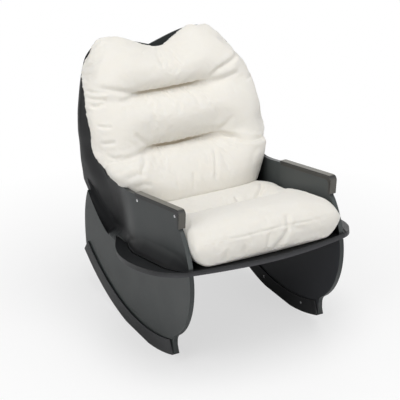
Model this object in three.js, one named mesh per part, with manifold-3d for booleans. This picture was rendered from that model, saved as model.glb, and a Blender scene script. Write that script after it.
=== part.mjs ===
import * as THREE from 'three';
import { mergeVertices } from 'three/addons/utils/BufferGeometryUtils.js';
import Module from 'manifold-3d';

const wasm = await Module();
wasm.setup();

// Rocking armchair on curved runners, in millimetres, +Z up, front towards -Y.
// The upper part (deck, shell, arm caps and cushions) is drawn square to the deck
// in a group that is tilted by the deck's slope: X across, Y back along the deck
// from the side panels' front edge, and Z away from the deck.

// Fits
const clearance = 0.3;
const slidingGap = 0.4;
const cutOverrun = 20;

// Side panels and the arc they rock on
const seatWidth = 620;
const panelThickness = 17;
const rockerRadius = 771.5;
const contactSetback = 397;
const baseDepth = 855;
const deckFrontHeight = 432;
const deckSlopeDegrees = 11;
const neckSetback = 118;
const neckHeight = 120;
const neckRounding = 18;
const earSetback = 820;
const earHeight = 413;
const deckSeatLength = 600;

// Runner rails, a U channel pressed over each panel's lower edge
const railHeight = 57;
const railWall = 6;
const railWeb = 4;
const railFacets = 15;
const contactFlat = 180;
const railEndRounding = 14;
const railFrontReach = 4;
const railRearReach = 6;

// Deck board with a half-round shelf at each side
const deckThickness = 18;
const deckFrontBow = 62;
const shelfReach = 103;
const shelfWidestSetback = 250;
const shelfEnd = 588;
const deckRearLength = 757;
const deckRearCorner = 70;

// Moulded shell: two arms that run round into one back
const armHeight = 202;
const armFrontRake = 49;
const shellWall = 7;
const armLength = 430;
const wingStart = 700;
const shellHalfWidth = 334;
const shellDepth = 900;
const shellHeight = 699;
const shellDipHeight = 653;
const shellCorner = 80;
const backBow = 8;
const coveRadius = 42;
const armColumns = 6;
const sideColumns = 12;
const cornerColumns = 6;
const backColumns = 5;
const shellRows = 14;

// Reclined support panel behind the back cushion
const supportThickness = 6;
const supportFootGap = 130;
const supportTopGap = 60;
const supportHeight = 615;
const supportCorner = 60;
const supportSideGap = 4;

// Arm caps
const capLength = 372;
const capThickness = 9;
const capFlange = 18;
const capWall = 5;
const capFrontDrop = 70;
const capRounding = 7;
const capSlotGap = 2;

// Cross rails, angle brackets and their places along the deck
const crossRailWidth = 20;
const crossRailHeight = 48;
const frontRailSetback = 205;
const rearRailSetback = 560;
const bracketLeg = 42;
const bracketThickness = 4;
const bracketHeight = 40;

// Fasteners
const capScrew = { head: 5.5, headHeight: 2.4, shank: 2.2, length: 13 };
const railScrew = { head: 5, headHeight: 2.2, shank: 2, length: 12 };
const deckScrew = { head: 6, headHeight: 2.6, shank: 2.4, length: 27 };
const bracketScrew = { head: 5, headHeight: 2.4, shank: 2.1, length: 12 };
const screwSides = 10;

// Cushions
const seatCushionLength = 655;
const seatCushionFront = -52;
const seatCushionHeight = 160;
const seatCushionTaper = 42;
const seatCushionRearHeight = 130;
const backCushionHeight = 560;
const backCushionHalfWidth = 345;
const backCushionReach = 757;
const cushionColumns = 22;
const seamShare = 0.999;
const seatCreaseSetback = 286;
const seatRowShares = [
  0, 0.004, 0.015, 0.04, 0.08, 0.13, 0.19, 0.26, 0.33, 0.4, 0.45, 0.485, 0.515, 0.545, 0.585, 0.64, 0.7, 0.76,
  0.82, 0.88, 0.93, 0.965, 0.99, 0.998, 1,
];
const backRowShares = [
  0, 0.004, 0.02, 0.05, 0.09, 0.14, 0.19, 0.24, 0.28, 0.305, 0.322, 0.345, 0.38, 0.44, 0.51, 0.57, 0.615, 0.645,
  0.67, 0.71, 0.76, 0.83, 0.9, 0.955, 1,
];

const deckSlope = THREE.MathUtils.degToRad(deckSlopeDegrees);
const halfWidth = seatWidth / 2;
const innerHalfWidth = halfWidth - panelThickness;
const panelMiddle = halfWidth - panelThickness / 2;

// Materials
const satinBlack = (name) => new THREE.MeshStandardMaterial({ name, color: 0x2a2d2c, roughness: 0.45, metalness: 0 });
const panelFinish = satinBlack('panel');
const shellFinish = satinBlack('shell');
const deckFinish = satinBlack('deck');
const railFinish = new THREE.MeshStandardMaterial({ name: 'rail', color: 0x202322, roughness: 0.5, metalness: 0 });
const capFinish = new THREE.MeshStandardMaterial({ name: 'cap', color: 0x2b2b2e, roughness: 0.55, metalness: 0 });
const steelFinish = new THREE.MeshStandardMaterial({ name: 'steel', color: 0xb9bcc0, roughness: 0.3, metalness: 1 });
const bracketFinish = new THREE.MeshStandardMaterial({ name: 'bracket', color: 0x3b3d40, roughness: 0.5, metalness: 0.8 });
const cottonFinish = new THREE.MeshStandardMaterial({ name: 'cotton', color: 0xefece4, roughness: 0.95, metalness: 0 });

// Solids from geometries, and back
function toSolid(geometry) {
  const plain = geometry.clone();
  plain.deleteAttribute('normal');
  plain.deleteAttribute('uv');
  const merged = mergeVertices(plain.index ? plain.toNonIndexed() : plain, 1e-4);
  return new wasm.Manifold(new wasm.Mesh({
    numProp: 3,
    vertProperties: new Float32Array(merged.attributes.position.array),
    triVerts: new Uint32Array(merged.index.array),
  }));
}

function toGeometry(solid) {
  const mesh = solid.getMesh();
  const geometry = new THREE.BufferGeometry();
  geometry.setAttribute('position', new THREE.BufferAttribute(new Float32Array(mesh.vertProperties), 3));
  geometry.setIndex(new THREE.BufferAttribute(new Uint32Array(mesh.triVerts), 1));
  const flat = geometry.toNonIndexed();
  flat.computeVertexNormals();
  return flat;
}

const joined = (solids) => solids.reduce((sum, solid) => sum.add(solid));

function named(name, solid, material) {
  const mesh = new THREE.Mesh(toGeometry(solid), material);
  mesh.name = name;
  return mesh;
}

// A profile drawn in (Y, Z), extruded along X from x0 to x1
function acrossX(shape, x0, x1, curveSegments = 12) {
  const geometry = new THREE.ExtrudeGeometry(shape, { depth: x1 - x0, bevelEnabled: false, curveSegments });
  geometry.applyMatrix4(new THREE.Matrix4().makeBasis(
    new THREE.Vector3(0, 1, 0), new THREE.Vector3(0, 0, 1), new THREE.Vector3(1, 0, 0)));
  geometry.translate(x0, 0, 0);
  return toSolid(geometry);
}

// A plan drawn in (X, Y), extruded along Z from z0 to z1
function upwards(shape, z0, z1, curveSegments = 12) {
  const geometry = new THREE.ExtrudeGeometry(shape, { depth: z1 - z0, bevelEnabled: false, curveSegments });
  geometry.translate(0, 0, z0);
  return toSolid(geometry);
}

function box(x0, x1, y0, y1, z0, z1) {
  const geometry = new THREE.BoxGeometry(x1 - x0, y1 - y0, z1 - z0);
  geometry.translate((x0 + x1) / 2, (y0 + y1) / 2, (z0 + z1) / 2);
  return toSolid(geometry);
}

// A smooth curve through a table of [place, value] rows
function through(table, place) {
  const last = table.length - 1;
  if (place <= table[0][0]) return table[0][1];
  if (place >= table[last][0]) return table[last][1];
  let k = 0;
  while (place > table[k + 1][0]) k += 1;
  const slope = (i) => {
    if (i === 0 || i === last) return 0;
    const before = (table[i][1] - table[i - 1][1]) / (table[i][0] - table[i - 1][0]);
    const after = (table[i + 1][1] - table[i][1]) / (table[i + 1][0] - table[i][0]);
    return before * after <= 0 ? 0 : (2 * before * after) / (before + after);
  };
  const span = table[k + 1][0] - table[k][0];
  const t = (place - table[k][0]) / span;
  const t2 = t * t;
  const t3 = t2 * t;
  return (2 * t3 - 3 * t2 + 1) * table[k][1] + (t3 - 2 * t2 + t) * span * slope(k)
    + (3 * t2 - 2 * t3) * table[k + 1][1] + (t3 - t2) * span * slope(k + 1);
}

const smooth = (t) => {
  const u = Math.min(1, Math.max(0, t));
  return u * u * (3 - 2 * u);
};

// A closed solid from two grids of points of the same size. The second half's quads are split the other way,
// so that a mirrored grid gives a mirrored solid
function walled(outer, inner) {
  const rows = outer.length;
  const columns = outer[0].length;
  const points = [...outer.flat(), ...inner.flat()];
  const at = (side, r, c) => side * rows * columns + r * columns + c;
  const index = [];
  const quad = (a, b, c, d, turned) => {
    if (turned) index.push(a, b, d, b, c, d);
    else index.push(a, b, c, a, c, d);
  };
  for (let r = 0; r + 1 < rows; r += 1) {
    for (let c = 0; c + 1 < columns; c += 1) {
      const second = 2 * c + 1 > columns - 1;
      quad(at(0, r, c), at(0, r, c + 1), at(0, r + 1, c + 1), at(0, r + 1, c), second);
      quad(at(1, r, c), at(1, r + 1, c), at(1, r + 1, c + 1), at(1, r, c + 1), second);
    }
  }
  for (let c = 0; c + 1 < columns; c += 1) {
    const second = 2 * c + 1 > columns - 1;
    quad(at(0, 0, c + 1), at(0, 0, c), at(1, 0, c), at(1, 0, c + 1), second);
    quad(at(0, rows - 1, c), at(0, rows - 1, c + 1), at(1, rows - 1, c + 1), at(1, rows - 1, c), second);
  }
  for (let r = 0; r + 1 < rows; r += 1) {
    quad(at(0, r, 0), at(0, r + 1, 0), at(1, r + 1, 0), at(1, r, 0), false);
    quad(at(0, r + 1, columns - 1), at(0, r, columns - 1), at(1, r, columns - 1), at(1, r + 1, columns - 1), true);
  }
  const geometry = new THREE.BufferGeometry();
  geometry.setAttribute('position', new THREE.BufferAttribute(new Float32Array(points.flat()), 3));
  geometry.setIndex(index);
  return toSolid(geometry);
}

// Screws: a domed head with a plain shank, and the hole that it needs
function turned(profile) {
  return new THREE.LatheGeometry(profile.map(([r, z]) => new THREE.Vector2(r, z)), screwSides);
}

function aimed(geometry, place, direction) {
  const turn = new THREE.Quaternion().setFromUnitVectors(new THREE.Vector3(0, 1, 0), direction);
  geometry.applyQuaternion(turn);
  geometry.translate(place.x, place.y, place.z);
  return toSolid(geometry);
}

// place is under the head, and direction points from the shank to the head
function screw(spec, place, direction) {
  const profile = [
    [0, -spec.length], [spec.shank, -spec.length], [spec.shank, clearance], [spec.head, clearance],
    [spec.head, spec.headHeight * 0.55], [spec.head * 0.7, spec.headHeight], [0, spec.headHeight],
  ];
  return aimed(turned(profile), place, direction);
}

function screwHole(spec, place, direction) {
  const radius = spec.shank + clearance;
  const profile = [
    [0, -spec.length - clearance], [radius, -spec.length - clearance], [radius, cutOverrun], [0, cutOverrun],
  ];
  return aimed(turned(profile), place, direction);
}

// Arc that the chair rocks on, about the point above the contact
const onArc = (radius, angle) => [contactSetback + radius * Math.sin(angle), rockerRadius - radius * Math.cos(angle)];
const arcAngle = (radius, setback) => Math.asin((setback - contactSetback) / radius);
const railStartAngle = arcAngle(rockerRadius, neckSetback - railFrontReach);
const railEndAngle = arcAngle(rockerRadius, baseDepth + railRearReach);

// The arc is cut into equal facets, and the one that the chair stands on is made longer
const facetAngle = (railEndAngle - railStartAngle) / railFacets;
const flatAngle = Math.asin(contactFlat / 2 / rockerRadius);

function railCornerAngles() {
  const angles = [];
  for (let k = 0; k <= railFacets; k += 1) angles.push(railStartAngle + k * facetAngle);
  const kept = angles.filter((angle) => Math.abs(angle) > flatAngle + facetAngle * 0.4);
  return [...kept, -flatAngle, flatAngle].sort((a, b) => a - b);
}

const railAngles = railCornerAngles();

function onFacet(radius, angle) {
  const next = Math.max(1, Math.min(railAngles.length - 1, railAngles.findIndex((corner) => corner >= angle)));
  const half = (railAngles[next] - railAngles[next - 1]) / 2;
  return onArc((radius * Math.cos(half)) / Math.cos(angle - railAngles[next] + half), angle);
}

function facetPoints(radius, from, to) {
  const corners = railAngles.filter((angle) => angle > from && angle < to).map((angle) => onArc(radius, angle));
  return [onFacet(radius, from), ...corners, onFacet(radius, to)];
}

// Height of the deck's top plane, and of its underside, at a setback on level ground
const deckTopAt = (setback) => deckFrontHeight - setback * Math.tan(deckSlope);
const deckUnderAt = (setback) => deckTopAt(setback) - deckThickness / Math.cos(deckSlope);

// A place measured on the deck, moved to level ground
const onDeck = (place) => new THREE.Vector3(
  place.x,
  place.y * Math.cos(deckSlope) + place.z * Math.sin(deckSlope),
  deckFrontHeight - place.y * Math.sin(deckSlope) + place.z * Math.cos(deckSlope));

// Side panel: bulging front edge, narrow neck at the toe, rear edge that rises to an ear
function sidePanelShape() {
  const panelRadius = rockerRadius - railWeb - clearance;
  const frontTop = deckUnderAt(0) - clearance;
  const shape = new THREE.Shape();
  shape.moveTo(0, frontTop);
  shape.bezierCurveTo(
    -neckSetback * 0.14, neckHeight + (frontTop - neckHeight) * 0.78,
    -neckSetback * 0.07, neckHeight + (frontTop - neckHeight) * 0.32,
    neckSetback - neckRounding * 0.7, neckHeight + neckRounding * 0.7);
  shape.quadraticCurveTo(neckSetback, neckHeight, neckSetback, neckHeight - neckRounding);
  const toe = arcAngle(panelRadius, neckSetback);
  const heel = arcAngle(panelRadius, baseDepth - railWall * 1.5);
  facetPoints(panelRadius, toe, heel).forEach(([y, z]) => shape.lineTo(y, z));
  const heelPoint = onFacet(panelRadius, heel);
  shape.bezierCurveTo(
    baseDepth + railWall * 0.8, heelPoint[1] + (earHeight - heelPoint[1]) * 0.32,
    baseDepth + railWall * 1.3, heelPoint[1] + (earHeight - heelPoint[1]) * 0.7,
    earSetback, earHeight);
  const saddleHeight = deckUnderAt(deckSeatLength) - clearance;
  shape.bezierCurveTo(
    deckSeatLength + (earSetback - deckSeatLength) * 0.73, saddleHeight + (earHeight - saddleHeight) * 0.54,
    deckSeatLength + (earSetback - deckSeatLength) * 0.36, saddleHeight - (earHeight - saddleHeight) * 0.02,
    deckSeatLength, saddleHeight);
  shape.closePath();
  return shape;
}

// Runner rail in profile: a band of the arc with rounded ends
function railShape() {
  const innerRadius = rockerRadius - railHeight;
  const outerRound = railEndRounding / rockerRadius;
  const shape = new THREE.Shape();
  const between = railAngles.slice(1, -1);
  const start = onArc(rockerRadius, railStartAngle);
  const startIn = onArc(rockerRadius - railEndRounding, railStartAngle);
  const startOut = onArc(rockerRadius, railStartAngle + outerRound);
  shape.moveTo(...startIn);
  shape.quadraticCurveTo(...start, ...startOut);
  between.forEach((angle) => shape.lineTo(...onArc(rockerRadius, angle)));
  const end = onArc(rockerRadius, railEndAngle);
  shape.lineTo(...onArc(rockerRadius, railEndAngle - outerRound));
  shape.quadraticCurveTo(...end, ...onArc(rockerRadius - railEndRounding, railEndAngle));
  shape.lineTo(...onArc(innerRadius + railEndRounding, railEndAngle));
  shape.quadraticCurveTo(...onArc(innerRadius, railEndAngle), ...onArc(innerRadius, railEndAngle - outerRound));
  between.reverse().forEach((angle) => shape.lineTo(...onArc(innerRadius, angle)));
  shape.lineTo(...onArc(innerRadius, railStartAngle));
  shape.closePath();
  return shape;
}

function railSlotShape() {
  const slotRadius = rockerRadius - railWeb;
  const topRadius = rockerRadius - railHeight - cutOverrun;
  const angles = [railStartAngle - facetAngle, ...railAngles, railEndAngle + facetAngle];
  const floor = angles.map((angle) => onArc(slotRadius, angle));
  const roof = angles.map((angle) => onArc(topRadius, angle)).reverse();
  return new THREE.Shape([...floor, ...roof].map(([y, z]) => new THREE.Vector2(y, z)));
}

const railScrewAngles = [0.14, 0.5, 0.86].map((share) => railStartAngle + (railEndAngle - railStartAngle) * share);

function railScrewPlaces(side) {
  const inward = new THREE.Vector3(-side, 0, 0);
  const face = side * (innerHalfWidth - clearance - railWall);
  return railScrewAngles.map((angle) => {
    const [y, z] = onArc(rockerRadius - railHeight * 0.62, angle);
    return { place: new THREE.Vector3(face, y, z), direction: inward };
  });
}

const cutFrom = (solid, spec, places) => places.reduce(
  (left, { place, direction }) => left.subtract(screwHole(spec, place, direction)), solid);

function sidePanel(side) {
  const x0 = side > 0 ? innerHalfWidth : -halfWidth;
  const panel = acrossX(sidePanelShape(), x0, x0 + panelThickness, 14);
  const brackets = [frontRailSetback, rearRailSetback].map((setback) => bracketScrewPlaces(side, setback)[0])
    .map(({ place, direction }) => ({ place: onDeck(place), direction }));
  return cutFrom(cutFrom(panel, railScrew, railScrewPlaces(side)), bracketScrew, brackets);
}

function runnerRail(side) {
  const outside = halfWidth + clearance + railWall;
  const inside = innerHalfWidth - clearance - railWall;
  const x0 = side > 0 ? inside : -outside;
  const block = acrossX(railShape(), x0, x0 + outside - inside, 4);
  const slotInside = innerHalfWidth - clearance;
  const slotWidth = panelThickness + 2 * clearance;
  const slotStart = side > 0 ? slotInside : -slotInside - slotWidth;
  const rail = block.subtract(acrossX(railSlotShape(), slotStart, slotStart + slotWidth));
  return cutFrom(rail, railScrew, railScrewPlaces(side));
}

// Deck plan: bowed front, half-round shelves, and a narrower tail between the ears
function deckShape() {
  const tailHalfWidth = innerHalfWidth - slidingGap;
  const shelfHalfWidth = halfWidth + shelfReach;
  const shape = new THREE.Shape();
  shape.moveTo(0, -deckFrontBow * 0.8);
  const half = (sign) => {
    const curves = [
      [halfWidth * 0.35, -deckFrontBow * 0.8, halfWidth * 0.75, -deckFrontBow * 0.3, halfWidth, deckFrontBow * 0.1],
      [halfWidth + shelfReach * 0.62, deckFrontBow * 0.42, shelfHalfWidth, shelfWidestSetback * 0.45,
        shelfHalfWidth, shelfWidestSetback],
      [shelfHalfWidth, shelfWidestSetback + (shelfEnd - shelfWidestSetback) * 0.52,
        halfWidth + shelfReach * 0.16, shelfWidestSetback + (shelfEnd - shelfWidestSetback) * 0.86,
        halfWidth, shelfEnd],
    ];
    return curves.map((c) => c.map((v, k) => (k % 2 === 0 ? sign * v : v)));
  };
  half(1).forEach((c) => shape.bezierCurveTo(...c));
  shape.lineTo(tailHalfWidth, deckSeatLength);
  shape.lineTo(tailHalfWidth, deckRearLength - deckRearCorner);
  shape.quadraticCurveTo(tailHalfWidth, deckRearLength, tailHalfWidth - deckRearCorner, deckRearLength);
  shape.lineTo(deckRearCorner - tailHalfWidth, deckRearLength);
  shape.quadraticCurveTo(-tailHalfWidth, deckRearLength, -tailHalfWidth, deckRearLength - deckRearCorner);
  shape.lineTo(-tailHalfWidth, deckSeatLength);
  shape.lineTo(-halfWidth, shelfEnd);
  const back = half(-1);
  const starts = [[0, -deckFrontBow * 0.8], [-halfWidth, deckFrontBow * 0.1], [-shelfHalfWidth, shelfWidestSetback]];
  for (let k = 2; k >= 0; k -= 1) {
    const c = back[k];
    shape.bezierCurveTo(c[2], c[3], c[0], c[1], ...starts[k]);
  }
  return shape;
}

// Shell plan at a height above the deck: half the outline from the arm's front to the back's middle
const armFrontShares = [[0, 0.02], [0.2, 0.14], [0.42, 0.41], [0.6, 0.75], [0.7, 1], [0.8, 0.98], [1, 0.72]];
const widthShares = [
  [0, 0.838], [0.1, 0.855], [0.2, 0.873], [0.25, 0.9], [0.31, 0.939], [0.38, 0.968], [0.47, 0.987], [0.55, 1],
  [0.63, 0.997], [0.72, 0.979], [0.82, 0.949], [0.92, 0.895], [1, 0.82],
];
const recessShares = [[0, 0.877], [0.14, 0.89], [0.29, 0.935], [0.37, 0.975], [0.46, 1.01], [0.53, 1.04], [1, 1.06]];
const depthShares = [
  [0, 0.828], [0.05, 0.872], [0.09, 0.903], [0.135, 0.941], [0.185, 0.98], [0.235, 0.995], [0.31, 0.969],
  [0.55, 0.934], [0.92, 0.878], [1, 0.869],
];
const cornerShares = [[0, 0.3], [0.2, 0.5], [0.36, 0.8], [0.5, 1]];
const armFrontAt = (height) => armFrontRake * through(armFrontShares, height / armHeight);
const shellWidthAt = (height) => shellHalfWidth * through(widthShares, height / shellHeight);
const recessAt = (height) => Math.min(halfWidth * through(recessShares, height / shellHeight), shellWidthAt(height));
const shellDepthAt = (height) => shellDepth * through(depthShares, height / shellHeight);
const shellCornerAt = (height) => shellCorner * through(cornerShares, height / shellHeight);
const recessSetback = (armLength + wingStart) / 2;

function sideHalfWidth(setback, height) {
  const recess = recessAt(height);
  if (setback <= recessSetback) {
    return halfWidth + (recess - halfWidth) * smooth((setback - armLength) / (recessSetback - armLength));
  }
  return recess + (shellWidthAt(height) - recess) * smooth((setback - recessSetback) / (wingStart - recessSetback));
}

// Half the shell's outside width at a setback, drawn in where the back's corner begins
function shellReach(setback, height) {
  const corner = shellCornerAt(height);
  const past = Math.max(0, setback - shellDepthAt(height) + corner) / corner;
  return sideHalfWidth(setback, height) - corner * (1 - Math.sqrt(1 - Math.min(1, past) ** 2));
}

// One column of the shell: its run along the plan, from 0 at the arm's front
function shellColumns() {
  const columns = [];
  for (let k = 0; k < armColumns; k += 1) columns.push({ part: 'arm', t: k / armColumns });
  for (let k = 0; k < sideColumns; k += 1) columns.push({ part: 'side', t: k / sideColumns });
  for (let k = 0; k < cornerColumns; k += 1) columns.push({ part: 'corner', t: k / cornerColumns });
  for (let k = 0; k <= backColumns; k += 1) columns.push({ part: 'back', t: k / backColumns });
  return columns;
}

function planPoint({ part, t }, height) {
  if (part === 'arm') {
    const front = armFrontAt(height);
    return [halfWidth, front + (armLength - front) * t];
  }
  const depth = shellDepthAt(height);
  const width = shellWidthAt(height);
  const corner = shellCornerAt(height);
  const cornerStart = depth - corner;
  if (part === 'side') {
    const setback = armLength + (cornerStart - armLength) * t;
    return [sideHalfWidth(setback, height), setback];
  }
  if (part === 'corner') {
    const angle = (t * Math.PI) / 2;
    return [width - corner * (1 - Math.cos(angle)), cornerStart + corner * Math.sin(angle)];
  }
  const x = (width - corner) * (1 - t);
  return [x, depth + backBow * (1 - (1 - t) * (1 - t))];
}

// Rim height by column: level on the arm, a quick rise into the wing, an ear, and the dip at the middle
const rimSideShares = [
  [0, 0.289], [0.12, 0.293], [0.22, 0.309], [0.3, 0.38], [0.5, 0.535], [0.75, 0.7], [0.93, 0.815], [1, 0.86],
];

function rimHeight({ part, t }) {
  if (part === 'arm') return armHeight;
  if (part === 'side') return armHeight + (through(rimSideShares, t) - rimSideShares[0][1]) * shellHeight;
  if (part === 'corner') {
    const sideTop = armHeight + (rimSideShares[rimSideShares.length - 1][1] - rimSideShares[0][1]) * shellHeight;
    return sideTop + (shellHeight - sideTop) * Math.sin((t * Math.PI) / 2);
  }
  return shellHeight + (shellDipHeight - shellHeight) * smooth(t * 0.5) * 2;
}

const wallAt = ({ part, t }) => {
  if (part === 'arm') return panelThickness;
  if (part === 'side') return panelThickness + (shellWall - panelThickness) * smooth(t * 2);
  return shellWall;
};

// The arm's foot flares out in a cove where the shelf is wide enough to carry it
function shelfWidthAt(setback) {
  const front = Math.max(0, Math.min(1, setback / shelfWidestSetback));
  const rear = Math.max(0, Math.min(1, (shelfEnd - setback) / (shelfEnd - shelfWidestSetback)));
  return shelfReach * (setback < shelfWidestSetback ? Math.sqrt(front * (2 - front)) : smooth(rear));
}

function coveAt(setback, height) {
  const radius = Math.min(coveRadius, shelfWidthAt(setback) * 0.6);
  if (height >= radius || radius <= 0) return 0;
  const rest = 1 - height / radius;
  return radius * (1 - Math.sqrt(1 - rest * rest * 0.96));
}

function shellSolid() {
  const columns = shellColumns();
  const bend = (column, height) => {
    const k = columns.indexOf(column);
    const before = planPoint(columns[Math.max(0, k - 1)], height);
    const after = planPoint(columns[Math.min(columns.length - 1, k + 1)], height);
    if (column.part === 'arm') return [1, 0];
    if (k === columns.length - 1) return [0, 1];
    const along = [after[0] - before[0], after[1] - before[1]];
    const length = Math.hypot(...along);
    return [along[1] / length, -along[0] / length];
  };
  const outer = [];
  const inner = [];
  for (let row = 0; row <= shellRows; row += 1) {
    const lift = (row / shellRows) ** 1.25;
    const outerHalf = [];
    const innerHalf = [];
    columns.forEach((column) => {
      const height = clearance + (rimHeight(column) - clearance) * lift;
      const [x, y] = planPoint(column, height);
      const [nx, ny] = bend(column, height);
      const wall = wallAt(column);
      outerHalf.push([x + coveAt(y, height - clearance), y, height]);
      innerHalf.push([x - nx * wall, y - ny * wall, height]);
    });
    const mirrored = (half) => half.slice(0, -1).map(([x, y, z]) => [-x, y, z]);
    outer.push([...mirrored(outerHalf), ...outerHalf.reverse()]);
    inner.push([...mirrored(innerHalf), ...innerHalf.reverse()]);
  }
  return walled(inner, outer);
}

// Arm outline grown by a margin, for the slot in the cap
function armShape(margin) {
  const shape = new THREE.Shape();
  const steps = 8;
  const foot = armHeight * 0.5;
  shape.moveTo(armLength + cutOverrun, foot);
  shape.lineTo(armLength + cutOverrun, armHeight + clearance);
  for (let k = 0; k <= steps; k += 1) {
    const height = armHeight + (foot - armHeight) * (k / steps);
    shape.lineTo(armFrontAt(height) - margin, height + (k === 0 ? clearance : 0));
  }
  shape.closePath();
  return shape;
}

// Arm cap: a channel over the arm's top edge with a drop at the front
function capShape() {
  const top = armHeight + capThickness;
  const foot = armHeight * 0.7;
  const frontTop = armFrontAt(armHeight) - capThickness;
  const frontFoot = armFrontAt(foot) - capThickness;
  const under = armHeight + capThickness - capFlange;
  const stripRear = armFrontAt(foot) + capThickness;
  const shape = new THREE.Shape();
  shape.moveTo(capLength, under);
  shape.lineTo(capLength, top - capRounding);
  shape.quadraticCurveTo(capLength, top, capLength - capRounding, top);
  shape.lineTo(frontTop + capRounding * 2, top);
  shape.quadraticCurveTo(frontTop - capRounding * 0.3, top, frontTop, top - capRounding * 2);
  shape.lineTo(frontFoot, foot);
  shape.lineTo(stripRear, foot);
  shape.lineTo(stripRear - (capFrontDrop - capFlange) * 0.15, under - capRounding * 2);
  shape.quadraticCurveTo(stripRear - capRounding, under, stripRear + capRounding * 1.5, under);
  shape.closePath();
  return shape;
}

function armCap(side) {
  const outside = halfWidth + capWall + clearance;
  const inside = innerHalfWidth - capWall - clearance;
  const x0 = side > 0 ? inside : -outside;
  const body = acrossX(capShape(), x0 + capRounding * 0.5, x0 + outside - inside - capRounding * 0.5, 5);
  const waist = acrossX(capShape(), x0, x0 + outside - inside, 5);
  const topPlane = armHeight + capThickness;
  const trimmed = waist.subtract(box(x0 - cutOverrun, x0 + outside - inside + cutOverrun, -cutOverrun * 5,
    capLength + cutOverrun, topPlane - capRounding * 0.5, topPlane + cutOverrun));
  const slotInside = innerHalfWidth - clearance;
  const slotWidth = panelThickness + 2 * clearance;
  const slotStart = side > 0 ? slotInside : -slotInside - slotWidth;
  return trimmed.add(body).subtract(acrossX(armShape(capSlotGap), slotStart, slotStart + slotWidth));
}

const capScrewSetbacks = [armFrontRake + capRounding * 2.7, capLength - capRounding * 1.8];

function capScrewPlaces(side) {
  const outward = new THREE.Vector3(side, 0, 0);
  return capScrewSetbacks.map((setback) => ({
    place: new THREE.Vector3(side * halfWidth, setback, armHeight + capThickness - capFlange - capScrew.head * 1.9),
    direction: outward,
  }));
}

// Screws up through the deck into the shell's foot
function shellScrewPlaces() {
  const down = new THREE.Vector3(0, 0, -1);
  const places = [];
  [-1, 1].forEach((side) => {
    [0.25, 0.55, 0.85].forEach((share) => {
      places.push({ place: new THREE.Vector3(side * (panelMiddle + panelThickness), armLength * share, -deckThickness),
        direction: down });
    });
  });
  return places;
}

const deckSolid = () => upwards(deckShape(), -deckThickness, 0, 16);

// Setbacks of the support panel's front face at its foot and its top, in front of the shell's back wall
const supportFoot = shellDepthAt(0) - shellWall - supportThickness - supportFootGap;
const supportTop = shellDepthAt(supportHeight) - shellWall - supportThickness - supportTopGap;
const supportFaceAt = (height) => supportFoot + (supportTop - supportFoot) * (height / supportHeight);

// Reclined support panel, its edges following the shell's inside
function supportPanel() {
  const rows = 12;
  const columns = 12;
  const front = [];
  const rear = [];
  for (let r = 0; r <= rows; r += 1) {
    const frontRow = [];
    const rearRow = [];
    for (let c = 0; c <= columns; c += 1) {
      const share = (2 * c) / columns - 1;
      const round = supportCorner * (1 - Math.sqrt(1 - Math.abs(share) ** 6 * 0.99));
      const height = clearance + (supportHeight - clearance) * (r / rows) - round * smooth((r / rows - 0.5) * 2);
      const setback = supportFaceAt(height);
      const reach = Math.min(shellReach(setback, height), shellReach(setback + supportThickness, height))
        - shellWall * 1.1 - supportSideGap;
      frontRow.push([share * reach, setback, height]);
      rearRow.push([share * reach, setback + supportThickness, height]);
    }
    front.push(frontRow);
    rear.push(rearRow);
  }
  return walled(front, rear);
}

// Cross rails under the deck and the angle brackets that hold them to the side panels
function crossRail(setback) {
  const end = innerHalfWidth - slidingGap;
  const top = -deckThickness - clearance;
  return box(-end, end, setback, setback + crossRailWidth, top - crossRailHeight, top);
}

function bracket(side, setback) {
  const corner = innerHalfWidth - slidingGap;
  const face = setback + crossRailWidth + clearance;
  const low = -deckThickness - clearance - crossRailHeight * 0.5 - bracketHeight / 2;
  const legs = box(corner - bracketThickness, corner, face, face + bracketLeg, low, low + bracketHeight)
    .add(box(corner - bracketLeg, corner, face, face + bracketThickness, low, low + bracketHeight));
  return side > 0 ? legs : legs.mirror([1, 0, 0]);
}

function bracketScrewPlaces(side, setback) {
  const corner = innerHalfWidth - slidingGap;
  const face = setback + crossRailWidth + clearance;
  const middle = -deckThickness - clearance - crossRailHeight * 0.5;
  const reach = bracketLeg * 0.62;
  return [
    { place: new THREE.Vector3(side * (corner - bracketThickness), face + reach, middle),
      direction: new THREE.Vector3(-side, 0, 0) },
    { place: new THREE.Vector3(side * (corner - reach), face + bracketThickness, middle),
      direction: new THREE.Vector3(0, 1, 0) },
  ];
}

// Cushions: closed pillows over a grid, with a crown, drawn-in sides and sewn channels
const puff = (t, sharpness) => (1 - Math.abs(t) ** sharpness) ** (1 / 2);

function pillow(rowShares, upper, lower) {
  const top = [];
  const bottom = [];
  rowShares.forEach((share) => {
    const b = (share * 2 - 1) * seamShare;
    const topRow = [];
    const bottomRow = [];
    for (let c = 0; c <= cushionColumns; c += 1) {
      const a = Math.sin(((c / cushionColumns) * 2 - 1) * (Math.PI / 2) * seamShare);
      topRow.push(upper(a, b));
      bottomRow.push(lower(a, b));
    }
    top.push(topRow);
    bottom.push(bottomRow);
  });
  return walled(top, bottom);
}

const dent = (t, width) => Math.exp(-(t * t) / (width * width));

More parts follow.
